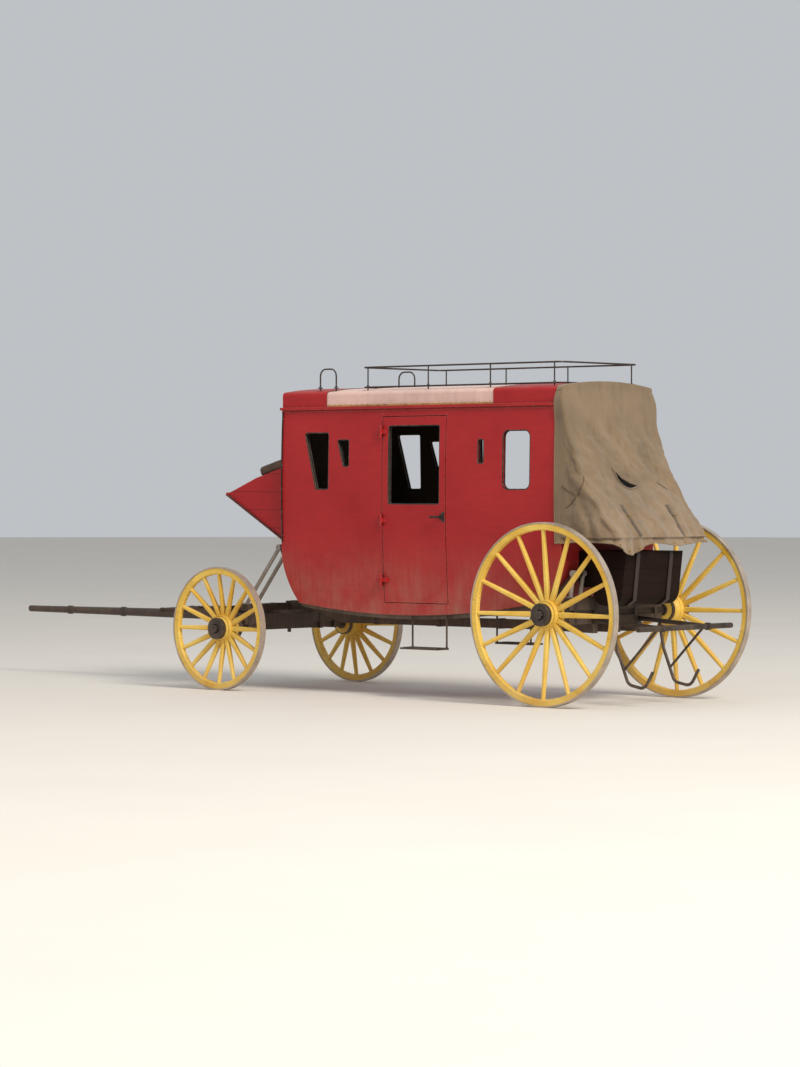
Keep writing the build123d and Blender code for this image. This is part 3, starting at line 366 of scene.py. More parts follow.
def forged(name, base_colour, rust, metal=0.75, low=0.2, high=1.1, dust=0.8, roughness=(0.42, 0.68)):
    """Blacked or rubbed iron with rust in the hollows and dust below."""
    made, tree, shader = material(name, Specular_IOR_Level=0.45)
    tone = effect(tree, "tone", Scale=7.0, Grain_scale=90.0)
    base = mix_colour(tree, tone["Tone"], rgb(base_colour), rgb(base_colour, 1.7))
    base = mix_colour(tree, ramp(tree, tone["Grain"], 0.52, 0.68, 0.0, 0.55), base, rgb(rust))
    base, mask = dusty(tree, rubbed(tree, base, rgb(BRIGHT_IRON), 0.005), low, high, dust)
    rough = maths(tree, "ADD", ramp(tree, tone["Grain"], 0.3, 0.7, *roughness), times(tree, mask, 0.25),
                  clamp=True)
    shine = times(tree, maths(tree, "SUBTRACT", 1.0, mask), metal)
    dress(tree, shader, base, rough, tone["Grain"], 0.35, 0.001, shine)
    return made


def painted_iron(name, paint_colour, iron_colour, low_x, high_x):
    """Door irons: hinges painted over with the body, and a bare worn handle between two places along it."""
    made, tree, shader = material(name, Specular_IOR_Level=0.35)
    tone = effect(tree, "tone", Scale=7.0, Grain_scale=60.0)
    x = place(tree, "ShaderNodeSeparateXYZ", {0: where(tree)}).outputs[0]
    handle = times(tree, ramp(tree, x, low_x, low_x + 0.01), ramp(tree, x, high_x, high_x - 0.01), clamp=True)
    red = mix_colour(tree, tone["Tone"], rgb(paint_colour), rgb(paint_colour, 1.3))
    dark = mix_colour(tree, tone["Grain"], rgb(iron_colour), rgb(iron_colour, 3.0))
    base = rubbed(tree, mix_colour(tree, handle, red, dark), rgb(RUBBED_IRON), 0.004)
    dress(tree, shader, base, ramp(tree, tone["Grain"], 0.3, 0.7, 0.42, 0.62), tone["Grain"], 0.3, 0.001,
          times(tree, handle, 0.7))
    return made


def bare_wood(name, light, dark, low, high, boards=None, dust=0.8):
    """Unpainted or stained boards with long grain."""
    made, tree, shader = material(name, Specular_IOR_Level=0.12)
    grain = height = cloud(tree, 26, 6, (0.22, 2.2, 2.2))
    tone = effect(tree, "tone", Scale=3.0, Grain_scale=60.0)
    base = mix_colour(tree, ramp(tree, grain, 0.32, 0.68), rgb(dark), rgb(light))
    base = mix_colour(tree, times(tree, tone["Tone"], 0.35), base, rgb(dark, 0.6))
    base = rubbed(tree, base, rgb(light, 1.8), 0.008)
    if boards:
        base, height = jointed(tree, base, height, boards, 1.0, rgb(dark, 0.2))
    base, mask = dusty(tree, base, low, high, dust)
    dress(tree, shader, base, ramp(tree, grain, 0.3, 0.7, 0.6, 0.84), height, 0.4)
    return made


def woven(name, base_colour, low, high, dust=0.7, stain=0.5):
    """Canvas: weave, faded patches, stains that run down, dust on what faces up."""
    made, tree, shader = material(name, Sheen_Weight=0.25, Sheen_Roughness=0.6, Specular_IOR_Level=0.2)
    weave = effect(tree, "weave", Threads=cloth().threads)["Height"]
    tone = effect(tree, "tone", Scale=2.6, Grain_scale=22.0)
    base = mix_colour(tree, tone["Tone"], rgb(base_colour, 0.78), rgb(base_colour, 1.18))
    runs = ramp(tree, cloud(tree, 6.5, 6, (2.2, 2.2, 0.3)), 0.5, 0.72, 0.0, stain)
    base = mix_colour(tree, runs, base, rgb(base_colour, 0.42))
    base = mix_colour(tree, ramp(tree, weave, 0.2, 0.9, 0.0, 0.3), base, rgb(base_colour, 0.5))
    base, mask = dusty(tree, base, low, high, dust)
    dress(tree, shader, base, ramp(tree, tone["Grain"], 0.2, 0.8, 0.78, 0.95), weave, 0.35, 0.0012)
    return made


def tanned(name, base_colour, low=0.3, high=1.3, dust=0.7, scale=260.0):
    """Dark leather: pebble, creases, scuffed edges, dust."""
    made, tree, shader = material(name, Coat_Weight=0.12, Coat_Roughness=0.4, Specular_IOR_Level=0.45)
    hide = effect(tree, "hide", Scale=scale)
    tone = effect(tree, "tone", Scale=5.0, Grain_scale=50.0)
    base = mix_colour(tree, tone["Tone"], rgb(base_colour), rgb(base_colour, 2.0))
    base = mix_colour(tree, times(tree, hide["Crease"], 0.18), base, rgb(base_colour, 3.4))
    base, mask = dusty(tree, rubbed(tree, base, rgb(base_colour, 6.0), 0.006), low, high, dust)
    rough = ramp(tree, hide["Height"], 0.0, 0.8, 0.42, 0.66)
    dress(tree, shader, base, rough, maths(tree, "ADD", hide["Height"], hide["Crease"]), 0.25, 0.001)
    return made


FINISHES = {}
PRIMER, LINING = (0.42, 0.20, 0.15), (0.085, 0.050, 0.030)
BRIGHT_IRON, RUBBED_IRON = (0.34, 0.31, 0.28), (0.20, 0.13, 0.10)
HANDLE_FROM, HANDLE_TO = AXLE_X + 1.245, AXLE_X + 1.46
UPRIGHT = {"Along_Y": 0.0, "Along_Z": 1.0}


def make_finishes():
    """Every finish of the coach, by name."""
    red, faded, canvas = paint().body, paint().body_faded, cloth().canvas
    FINISHES.update(
        red=painted("Crimson paint", red, faded, PRIMER, 0.64, 1.40, inner=LINING, dust=0.65),
        roof_red=painted("Crimson roof paint", red, faded, PRIMER, 0.0, 0.2, inner=LINING, dust=0.55),
        box_red=painted("Crimson box paint", red, faded, PRIMER, 1.15, 1.4, dust=0.5,
                        boards={**UPRIGHT, "Width": 0.153}),
        yellow=painted("Yellow wheel paint", paint().wheels, (0.86, 0.60, 0.13), (0.35, 0.22, 0.12),
                       0.05, 0.55, coat=0.1, tone_scale=4.0, grain=60.0, edge=0.005, dust=0.6),
        gear=painted("Dark gear paint", paint().gear, (0.06, 0.038, 0.028), (0.17, 0.11, 0.07), 0.3, 1.15,
                     coat=0.02, tone_scale=5.0, grain=70.0, dust=0.45),
        iron=forged("Blacked iron", iron().iron, (0.11, 0.045, 0.02)),
        pale_iron=forged("Dusty strut iron", (0.22, 0.20, 0.18), (0.20, 0.12, 0.07), metal=0.35, dust=1.0,
                         high=1.4),
        tyre=forged("Tyre iron", iron().tyre, (0.30, 0.19, 0.12), metal=0.55, low=-0.2, high=1.7,
                    roughness=(0.34, 0.6)),
        hinge=painted_iron("Painted door irons", red, iron().iron, HANDLE_FROM, HANDLE_TO),
        hinge_fixed=painted("Crimson hinge paint", red, faded, PRIMER, 0.64, 0.90, dust=0.75, grain=60.0),
        brass=forged("Dull brass", (0.42, 0.27, 0.09), (0.12, 0.07, 0.03), metal=0.9, dust=0.3),
        cover=woven("Cover canvas", canvas, 1.15, 1.85, dust=0.9, stain=0.45),
        roof_canvas=woven("Roof canvas", cloth().roof, 0.0, 0.2, dust=0.5, stain=0.25),
        leather=tanned("Cushion leather", cloth().leather, dust=0.25),
        braces=tanned("Brace leather", (0.022, 0.013, 0.008), 0.5, 1.2, scale=160.0),
        cover_dark=woven("Stained canvas", tuple(channel * 0.45 for channel in canvas), 1.0, 1.5),
        # Dark brown lines along the creases: painted shade in the folds of the cover.
        cord=woven("Brown cord", (0.10, 0.060, 0.030), 1.0, 1.5),
        # Near black: painted shade inside the hand hole, and the grease in the hubs.
        slit=bare_wood("Hand hole shade and hub grease", (0.005, 0.004, 0.003), (0.002, 0.0015, 0.001), 0.0, 0.1,
                       dust=0.0),
        straps=tanned("Strap leather", (0.012, 0.006, 0.004), 0.6, 1.4, dust=0.1, scale=300.0),
        # Near-black boards: dark wood, made darker still to the shade under the cover, so partly painted
        # shade.
        boot=bare_wood("Dark boot boards and painted shade", (0.019, 0.0075, 0.0038), (0.0075, 0.003, 0.002), 0.45, 1.2,
                       dust=0.05, boards={**UPRIGHT, "Width": 0.12}),
        boards=bare_wood("Worn inner boards", (0.20, 0.12, 0.065), (0.07, 0.04, 0.02), 0.0, 0.1, dust=0.5,
                         boards={"Along_Y": 1.0, "Width": 0.13}),
    )


# The starts of the names of the nodes that have each finish. The first that fits is used.
NODE_FINISH = {
    "hinge": ("door_irons",), "hinge_fixed": ("hinge_knuckles",), "pale_iron": ("standards",),
    "iron": ("door_steps", "roof_rails", "rear_bumper", "rear_axle", "turning_irons", "front_axle",
             "lower_ring", "hub_bands"),
    "red": ("quarter_", "door_", "body_floor", "end_walls"), "roof_red": ("roof_frame", "roof_ends"),
    "leather": ("driver_cushion", "bench_cushions"), "roof_canvas": ("roof_canvas",), "boards": ("benches",),
    "box_red": ("driver_box",), "boot": ("rear_boot",), "cover": ("boot_cover",),
    "gear": ("perch", "rear_bed", "top_bolster", "front_bed", "hounds", "pole", "evener", "singletrees"),
    "yellow": ("wheel_",), "tyre": ("tyre_",), "braces": ("thoroughbraces",),
}


def finish_node(name):
    """Give a node of the frame its finish."""
    finish = next((made for made, starts in NODE_FINISH.items() if name.startswith(starts)), None)
    if finish is None:
        raise RuntimeError("no finish for node " + name)
    NODES[name].data.materials.clear()
    NODES[name].data.materials.append(FINISHES[finish])


# Mesh helpers

UP = Vector((0, 0, 1))
SHARP = radians(38)


def turned(axis):
    """A rotation that takes Z to a direction."""
    return Vector(axis).normalized().to_track_quat("Z", "Y").to_matrix().to_4x4()


def circle(radius, sides):
    return [(radius * cos(2 * pi * k / sides), radius * sin(2 * pi * k / sides)) for k in range(sides)]


def skin(bm, rings, closed=False):
    """Join rings of vertices by four-sided faces, back to the first ring or with an end at each end."""
    for low, high in zip(rings, rings[1:] + (rings[:1] if closed else [])):
        size = len(low)
        for j in range(size):
            bm.faces.new((low[j], low[(j + 1) % size], high[(j + 1) % size], high[j]))
    if not closed:
        bm.faces.new(rings[0][::-1])
        bm.faces.new(rings[-1])


def lathe(bm, centre, axis, profile, sides=16, closed=False):
    """Turn a profile of (radius, height) about an axis through a centre. A radius of nought is a point."""
    place_at = Matrix.Translation(centre) @ turned(axis)
    rings = []
    for radius, height in profile:
        spots = circle(radius, sides) if radius else [(0, 0)]
        rings.append([bm.verts.new(place_at @ Vector((u, v, height))) for u, v in spots])
    for low, high in zip(rings, rings[1:] + (rings[:1] if closed else [])):
        for a in range(sides):
            b = (a + 1) % sides
            if len(low) == 1:
                bm.faces.new((low[0], high[b], high[a]))
            elif len(high) == 1:
                bm.faces.new((low[a], low[b], high[0]))
            else:
                bm.faces.new((low[a], low[b], high[b], high[a]))


def band(bm, centre, axis, inner, outer, half_width, sides):
    """A plain ring round an axis."""
    profile = ((inner, -half_width), (outer, -half_width), (outer, half_width), (inner, half_width))
    lathe(bm, centre, axis, profile, sides, closed=True)


def bolt(bm, point, axis, radius=None, dome=True):
    """A bolt head on a washer: domed for a carriage bolt, six-sided for a nut."""
    r = radius or iron().bolt
    washer = [(0, 0), (r * 1.35, 0), (r * 1.35, r * 0.18), (r, r * 0.22)]
    if dome:
        washer += [(r * 0.92, r * 0.45), (r * 0.55, r * 0.72), (0, r * 0.8)]
    lathe(bm, point, axis, washer, sides=12)
    if not dome:
        nut = [(0, 0), (r, 0), (r, r * 0.75), (r * 0.86, r * 0.85), (0, r * 0.85)]
        lathe(bm, Vector(point) + Vector(axis).normalized() * r * 0.2, axis, nut, sides=6)


def tube(bm, points, radius=0.0, sides=8, closed=False, flat=None):
    """A bar along points: round, or flat with a width and thickness."""
    if flat:
        wide, thick = flat[0] / 2, flat[1] / 2
        section = ((wide, thick), (-wide, thick), (-wide, -thick), (wide, -thick))
    else:
        section = circle(radius, sides)
    points = [Vector(point) for point in points]
    last = len(points) - 1
    rings, side_way = [], None
    for k, point in enumerate(points):
        before = points[k - 1] if (k or closed) else point
        after = points[(k + 1) % len(points)] if (k < last or closed) else point
        way = (after - before).normalized()
        if side_way is None:
            side_way = Vector((0, 1, 0)) if abs(way.y) < 0.9 else Vector((1, 0, 0))
        side_way = (side_way - way * side_way.dot(way)).normalized()
        up_way = way.cross(side_way)
        rings.append([bm.verts.new(point + side_way * u + up_way * v) for u, v in section])
    skin(bm, rings, closed)


def slab(bm, centre, size, axis_x=(1, 0, 0), axis_z=(0, 0, 1)):
    """A small plate with its own directions."""
    x_way, z_way = Vector(axis_x).normalized(), Vector(axis_z).normalized()
    own = Matrix((x_way, z_way.cross(x_way).normalized(), z_way)).transposed().to_4x4()
    bmesh.ops.create_cube(bm, size=1, matrix=Matrix.Translation(centre) @ own @ Matrix.Diagonal((*size, 1)))


def hoop(bm, centre, size, thickness, width, axis="x"):
    """An iron band clamped round a beam of a given section."""
    rings = []
    for grow, along in ((thickness, -width / 2), (thickness, width / 2), (0, width / 2), (0, -width / 2)):
        y, z = size[0] / 2 + grow, size[1] / 2 + grow
        corners = ((-y, -z), (y, -z), (y, z), (-y, z))
        spots = [(along, u, v) if axis == "x" else (u, along, v) for u, v in corners]
        rings.append([bm.verts.new(Vector(centre) + Vector(spot)) for spot in spots])
    skin(bm, rings, closed=True)


def cross_hoops(bm, node, x, places, thickness, width, down=0.0):
    """Hoops round a cross beam, and round what lies under it as far as a depth, at places along it."""
    low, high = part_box(node)
    for y in places:
        centre = Vector((x, y, (low.z + high.z - down) / 2))
        hoop(bm, centre, (high.x - low.x, high.z - low.z + down), thickness, width, axis="y")


def piece(name, bm, finish="iron", body="coach", slot="dark_iron", bevel=0.0, smooth=True):
    """Turn a mesh in the making into a named piece that rides on a body."""
    bmesh.ops.recalc_face_normals(bm, faces=bm.faces[:])
    mesh = bpy.data.meshes.new(name)
    bm.to_mesh(mesh)
    bm.free()
    made = bpy.data.objects.new(name, mesh)
    bpy.context.scene.collection.objects.link(made)
    mesh.materials.append(FINISHES[finish])
    if smooth:
        mesh.shade_smooth()
        mesh.set_sharp_from_angle(angle=SHARP)
    if bevel:
        rounding = made.modifiers.new("Eased edges", "BEVEL")
        rounding.width, rounding.segments, rounding.limit_method = bevel, 2, "ANGLE"
    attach(made, body)
    return made


def bell(distance, width):
    """One at nought, and fading evenly to both sides."""
    return exp(-(distance / width) ** 2)


# Rear cover

# Heights of its top, of the fold above its hem and of the hem, and how much of v lies above the fold
COVER_TOP, COVER_FOLD, COVER_HEM, FOLD_SHARE = 2.474, 1.325, 1.285, 0.93
# X of the front edge of its sides and of its back at the roof, from the rear axle
FLAP_FRONT, LAP_BACK = 0.097, 0.036
# How far it laps over the roof, and its gap to what it lies on
LAP_DEPTH, COVER_CLEAR = 0.058, 0.006
# Its rear line down the middle: height in metres, and millimetres from the rear axle
COVER_LINE = ((2.480, 36), (2.400, 14), (2.190, -20), (1.763, -207), (1.551, -365), (1.325, -540),
              (1.150, -520))
# Height over which that line is eased, the radius of its corners at the roof, and what that gains by the hem
LINE_EASE, CORNER_R, CORNER_GROWTH = 0.05, 0.018, 0.055
# The roof and the cornice that it hangs over
ROOF_HALF, ROOF_EDGE_R, ROOF_EDGE_Z, ROOF_TOP = 0.582, 0.034, 2.488, 2.562
CORNICE_HALF, CORNICE_LOW, CORNICE_HIGH = 0.608, 2.366, 2.396
# Shares of half its run where the side ends and where the back begins
SIDE_SHARE, CORNER_SHARE = 0.36, 0.50
# Creases from one u and v to another, and hand holes: u, v, length, height and lean
COVER_CREASES = (((0.055, 0.74), (0.235, 0.54)), ((0.050, 0.60), (0.118, 0.668)),
                 ((0.645, 0.575), (0.690, 0.625)))
COVER_SLITS = ((0.468, 0.560, 0.30, 0.10, 0.55),)
# u of the straps, v of their buckles, and the number and v of the eyelets
STRAP_US, BUCKLE_V, EYELETS, EYELET_V = (0.37, 0.63), 0.80, 15, 0.985


def smooth_step(low, high, value):
    """Nought below the low value, one above the high one, and an even curve between."""
    t = min(1.0, max(0.0, (value - low) / (high - low)))
    return t * t * (3 - 2 * t)


def cover_back(z):
    """The rear line of the cover at a height, eased over its corners, in metres from the rear axle."""
    total = 0.0
    for near in (z - LINE_EASE, z, z + LINE_EASE):
        near = min(COVER_LINE[0][0], max(COVER_LINE[-1][0], near))
        for (z_high, x_high), (z_low, x_low) in zip(COVER_LINE, COVER_LINE[1:]):
            if z_high >= near >= z_low:
                total += x_low + (x_high - x_low) * (near - z_low) / (z_high - z_low)
                break
    return total / 3 / 1000


def over_roof(y):
    """Height of the cloth where it lies on the crowned roof."""
    shoulder, radius = ROOF_HALF - ROOF_EDGE_R, ROOF_EDGE_R + COVER_CLEAR
    if abs(y) > shoulder:
        return ROOF_EDGE_Z + sqrt(max(0.0, radius ** 2 - (abs(y) - shoulder) ** 2))
    rise = ROOF_TOP - ROOF_EDGE_Z - ROOF_EDGE_R
    crown = (shoulder ** 2 + rise ** 2) / (2 * rise)
    return ROOF_TOP + COVER_CLEAR - crown + sqrt(crown ** 2 - y ** 2)


def cover_plan(u, back, half, corner, inset=0.0):
    """Where the cloth runs in plan, and its way out: along the side, round the corner, across the back."""
    t, side = (2 * u, 1) if u <= 0.5 else (2 - 2 * u, -1)
    turn_x, turn_y = back + max(corner, inset), half - max(corner, inset)
    if t < SIDE_SHARE:
        x, y, nx, ny = FLAP_FRONT + (turn_x - FLAP_FRONT) * t / SIDE_SHARE, half - inset, 0, 1
    elif t < CORNER_SHARE:
        angle = (t - SIDE_SHARE) / (CORNER_SHARE - SIDE_SHARE) * pi / 2
        radius = max(corner - inset, 0.0)
        nx, ny = -sin(angle), cos(angle)
        x, y = turn_x + radius * nx, turn_y + radius * ny
    else:
        x, y, nx, ny = back + inset, turn_y * (1 - t) / (1 - CORNER_SHARE), -1, 0
    return x, side * y, nx, side * ny


def hem_height(u):
    """The hem, with two loose lips of cloth that hang lower, the larger near the left corner."""
    loose = 0.100 * bell(u - 0.31, 0.075) + 0.030 * bell(u - 0.60, 0.06)
    return COVER_HEM - loose + 0.010 * noise.noise(Vector((u * 14, 0.5, 2.0)))


def cover_point(u, v):
    """A point of the cover and its outward way. u runs from the left front edge round to the right one.

    v is 0 at the roof's edge and 1 at the hem; from 0 to -1 the cloth lies folded over the end of the roof.
    """
    if v < 0:
        rise, lap = min(1.0, -v / 0.3), max(0.0, (-v - 0.3) / 0.7) ** 1.5 * LAP_DEPTH
        x, y, nx, ny = cover_plan(u, LAP_BACK, ROOF_HALF + COVER_CLEAR, CORNER_R, lap)
        z = COVER_TOP + (over_roof(y) - COVER_TOP) * rise
        flat = smooth_step(0.8, 1.0, rise)
        return Vector((AXLE_X + x, y, z)), Vector((nx * (1 - flat), ny * (1 - flat), flat))
    if v < FOLD_SHARE:
        z, tuck = COVER_TOP + (COVER_FOLD - COVER_TOP) * v / FOLD_SHARE, 0.0
    else:
        down = (v - FOLD_SHARE) / (1 - FOLD_SHARE)
        z = COVER_FOLD + (hem_height(u) - COVER_FOLD) * down
        tuck = 0.022 * smooth_step(0.0, 0.16, down) - 0.016 * smooth_step(0.3, 1.0, down)
    half = side_y(z) + COVER_CLEAR
    half += (CORNICE_HALF + COVER_CLEAR - half) * smooth_step(CORNICE_LOW - 0.16, CORNICE_LOW, z)
    half += (ROOF_HALF + COVER_CLEAR - half) * smooth_step(CORNICE_HIGH, COVER_TOP + 0.02, z)
    x, y, nx, ny = cover_plan(u, cover_back(z), half, CORNER_R + CORNER_GROWTH * v)
    tuck *= smooth_step(0.06, 0.0, x)
    return Vector((AXLE_X + x - nx * tuck, y - ny * tuck, z)), Vector((nx, ny, 0))


def cover_hang(u, v):
    """The same point with the cloth's folds, which are held where it lies on the body."""
    point, out = cover_point(u, v)
    free = smooth_step(0.0, 0.14, AXLE_X + 0.042 - point.x) * smooth_step(0.03, 0.22, v)
    broad = noise.fractal(Vector((u * 4.0, v * 2.2, 3.1)), 0.8, 2.0, 4)
    gather = sin(u * 88 + 5.0 * noise.noise(Vector((u * 6, v * 2, 8.0)))) * 0.40 * smooth_step(0.55, 1.0, v)
    gather += sin(u * 62 + 4.0 * noise.noise(Vector((u * 5, v * 3, 2.0)))) * 0.30 * smooth_step(0.5, 0.05, v)
    drag = noise.noise(Vector((u * 13 - v * 6, v * 4 + u * 3, 1.0)))
    crumple = noise.fractal(point * 8, 0.7, 2.0, 4) * 0.40
    inward = cloth().fold * free * (0.8 * broad + gather + 0.6 * drag + crumple - 0.45)
    return point + out * min(inward, 0.008) + out * 0.0006 * noise.noise(point * 30)


def sheet_through(bm, rows):
    """A sheet through rows of points, joined where they meet."""
    grid = [[bm.verts.new(point) for point in row] for row in rows]
    for high, low in zip(grid, grid[1:]):
        for i in range(len(high) - 1):
            bm.faces.new((high[i], low[i], low[i + 1], high[i + 1]))
    bmesh.ops.remove_doubles(bm, verts=bm.verts[:], dist=0.0002)


def cover_mesh(columns, rows, lap_rows):
    bm = bmesh.new()
    heights = [-1 + j / lap_rows for j in range(lap_rows)] + [j / rows for j in range(rows + 1)]
    sheet_through(bm, [[cover_hang(i / columns, v) for i in range(columns + 1)] for v in heights])
    return bm


def between(start, end, steps=24):
    """Even places from one (u, v) to another."""
    return [(start[0] + (end[0] - start[0]) * k / steps, start[1] + (end[1] - start[1]) * k / steps)
            for k in range(steps + 1)]


def ribbon_on_cover(bm, start, end, width, thickness, lift=0.004):
    """A flat strap that follows the cover from one (u, v) to another."""
    rings = []
    for u, v in between(start, end):
        here, out = cover_hang(u, v), cover_point(u, v)[1]
        ahead = cover_hang(u + (end[0] - start[0]) * 0.01, v + (end[1] - start[1]) * 0.01)
        across = (ahead - here).normalized().cross(out).normalized() * width / 2
        low, high = here + out * lift, here + out * (lift + thickness)
        rings.append([bm.verts.new(p) for p in (low + across, high + across, high - across, low - across)])
    skin(bm, rings)


def crease_on_cover(bm, start, end, radius):
    """A thin raised line in dark brown that lies on the cover from one (u, v) to another: painted shade in a
    crease.
    """
    tube(bm, [cover_hang(u, v) + cover_point(u, v)[1] * radius * 0.4 for u, v in between(start, end)], radius)


def hand_hole(dark, lips, u, v, wide, tall, lean):
    """A sagging hand hole: a crescent of near-black painted shade laid just off the cloth, with a rolled lip
    above and a wider one below.
    """
    centre = cover_hang(u, v)
    per_u = (cover_hang(u + 0.01, v) - centre).length / 0.01
    per_v = (cover_hang(u, v + 0.01) - centre).length / 0.01
    rows = []
    for part in (0.0, 0.25, 0.5, 0.75, 1.0):
        line = []
        for k in range(25):
            a = -1 + k / 12
            sag = 1 - a * a
            along, down = a * wide / 2, tall * (0.35 * sag + part * sag * 0.75 - 0.3)
            across, below = along * cos(lean) - down * sin(lean), along * sin(lean) + down * cos(lean)
            spot = (u + across / per_u, v + below / per_v)
            line.append(cover_hang(*spot) + cover_point(*spot)[1] * 0.0025)
        rows.append(line)
    sheet_through(dark, rows)
    tube(lips, rows[0], 0.005)
    tube(lips, rows[-1], 0.008)


def eyelet(bm, u):
    """A brass ring in the hem."""
    point, out = cover_hang(u, EYELET_V), cover_point(u, EYELET_V)[1]
    ring = Matrix.Translation(point + out * 0.004) @ turned(out)
    tube(bm, [ring @ Vector((*spot, 0)) for spot in circle(0.011, 12)], 0.003, sides=6, closed=True)


def buckle(bm, u):
    """A square buckle with its tongue."""
    out = cover_point(u, BUCKLE_V)[1]
    centre = cover_hang(u, BUCKLE_V) + out * 0.009
    across = UP.cross(out).normalized()
    corners = [centre + across * a * 0.024 + UP * b * 0.019 for a, b in ((1, 1), (-1, 1), (-1, -1), (1, -1))]
    tube(bm, corners, 0.0032, sides=6, closed=True)
    tube(bm, [centre - UP * 0.019, centre + UP * 0.022 + out * 0.004], 0.0028, sides=6)


class COACH_OT_cover(bpy.types.Operator):
    """Make the canvas cover over the rear boot, with its hem, creases and hand hole drawn in painted shade,
    straps and eyelets
    """
    bl_idname = "coach.cover"
    bl_label = "Rear cover"

    def execute(self, context):
        on_boot = ("coach", "boot_canvas")
        cover = piece("rear_cover", cover_mesh(170, 96, 14), "cover", *on_boot)
        cover.data.shade_smooth()
        thick = cover.modifiers.new("Cloth thickness", "SOLIDIFY")
        thick.thickness, thick.offset = cloth().thickness, -1
        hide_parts("boot_cover")
        hem, straps, cords, slits, lips, metal = [bmesh.new() for part in range(6)]
        tube(hem, [cover_hang(k / 220, 0.997) for k in range(221)], 0.006)
        for u in (0.0, 1.0):
            tube(hem, [cover_hang(u, k / 40) for k in range(41)], 0.0045)
        for u in STRAP_US:
            ribbon_on_cover(straps, (u, 0.72), (u, 0.92), 0.034, 0.003)
        # Each crease is a thin dark line on the cloth: painted shade in a fold.
        for start, end in COVER_CREASES:
            crease_on_cover(cords, start, end, 0.0045)
        # Each hand hole is a near-black crescent of painted shade with real lips, not an opening.
        for hole in COVER_SLITS:
            hand_hole(slits, lips, *hole)
        for k in range(EYELETS):
            eyelet(metal, 0.02 + 0.96 * k / (EYELETS - 1))
        for u in STRAP_US:
            buckle(metal, u)
        hem = piece("cover_hem", hem, "cover", *on_boot)
        straps = piece("cover_straps", straps, "cover_dark", *on_boot, bevel=0.001)
        cords = piece("cover_cords", cords, "cord", *on_boot)
        slits = piece("cover_slits", slits, "slit", *on_boot)
        lips = piece("cover_slit_lips", lips, "cover", *on_boot)
        metal = piece("cover_buckles", metal, "brass")
        return {"FINISHED"}


# Cushions

# Size of the pads' even mesh, then shares of a pad's least side: its inset, its swelling and its tufts
PAD_VOXEL, PAD_INSET, PAD_SWELL, TUFT_DEPTH = 0.013, 0.10, 0.09, 0.16
BENCH_HALF, SEAT_LOW, SEAT_TOP, BACK_TOP = 0.535, 1.1003, 1.2003, 1.64
# Gap behind the bench pads, and how far the seat and back reach from the wall
WALL_GAP, SEAT_REACH, BACK_REACH = 0.002, 0.438, 0.078
# The driver's seat board: height and X of its rear and front edges
BOARD_HIGH, BOARD_LOW, BOARD_BACK, BOARD_FRONT = 1.895, 1.800, 3.066, 3.400


def swell(pad, pressure, cap, frames=14):
    """Blow a closed pad up a little with cloth pressure, and hold each point near its start."""
    before = [vertex.co.copy() for vertex in pad.data.vertices]
    puff = pad.modifiers.new("Stuffing", "CLOTH")
    settings = puff.settings
    settings.use_pressure, settings.uniform_pressure_force = True, pressure
    settings.effector_weights.gravity = 0
    settings.quality, settings.mass = 5, 0.4
    scene = bpy.context.scene
    puff.point_cache.frame_start, puff.point_cache.frame_end = 1, frames
    for number in range(1, frames + 1):
        scene.frame_set(number)
    shaped = pad.evaluated_get(bpy.context.evaluated_depsgraph_get())
    after = [vertex.co.copy() for vertex in shaped.data.vertices]
    pad.modifiers.remove(puff)
    for vertex, start, end in zip(pad.data.vertices, before, after):
        move = end - start
        vertex.co = start + (move * (cap / move.length) if move.length > cap else move)
    scene.frame_set(1)


def pad_block(name, low, high, inset):
    """A rounded block for a pad, remeshed evenly and shrunk a little from the space it has."""
    bm = bmesh.new()
    low, high = Vector(low) + Vector((inset,) * 3), Vector(high) - Vector((inset,) * 3)
    slab(bm, (low + high) / 2, high - low)
    bmesh.ops.bevel(bm, geom=bm.edges[:], offset=min(high - low) * 0.28, segments=4, profile=0.6,
                    affect="EDGES")
    pad = piece(name, bm, "leather", "coach", "cushion_leather")
    even = pad.modifiers.new("Even mesh", "REMESH")
    even.mode, even.voxel_size = "VOXEL", PAD_VOXEL
    shape = bpy.data.meshes.new_from_object(pad.evaluated_get(bpy.context.evaluated_depsgraph_get()))
    pad.modifiers.clear()
    pad.data = shape
    return pad


def button_places(low, high, columns, rows, across, along):
    """Staggered rows of buttons on a pad's face, in its own two axes, clear of its ends."""
    places = []
    for row in range(rows):
        for column in range(columns + row % 2):
            step = (column + 0.5 * (1 - row % 2)) / columns
            spot = low[along] + (high[along] - low[along]) * step
            if low[along] + 0.02 < spot < high[along] - 0.02:
                places.append((low[across] + (high[across] - low[across]) * (row + 0.5) / rows, spot))
    return places


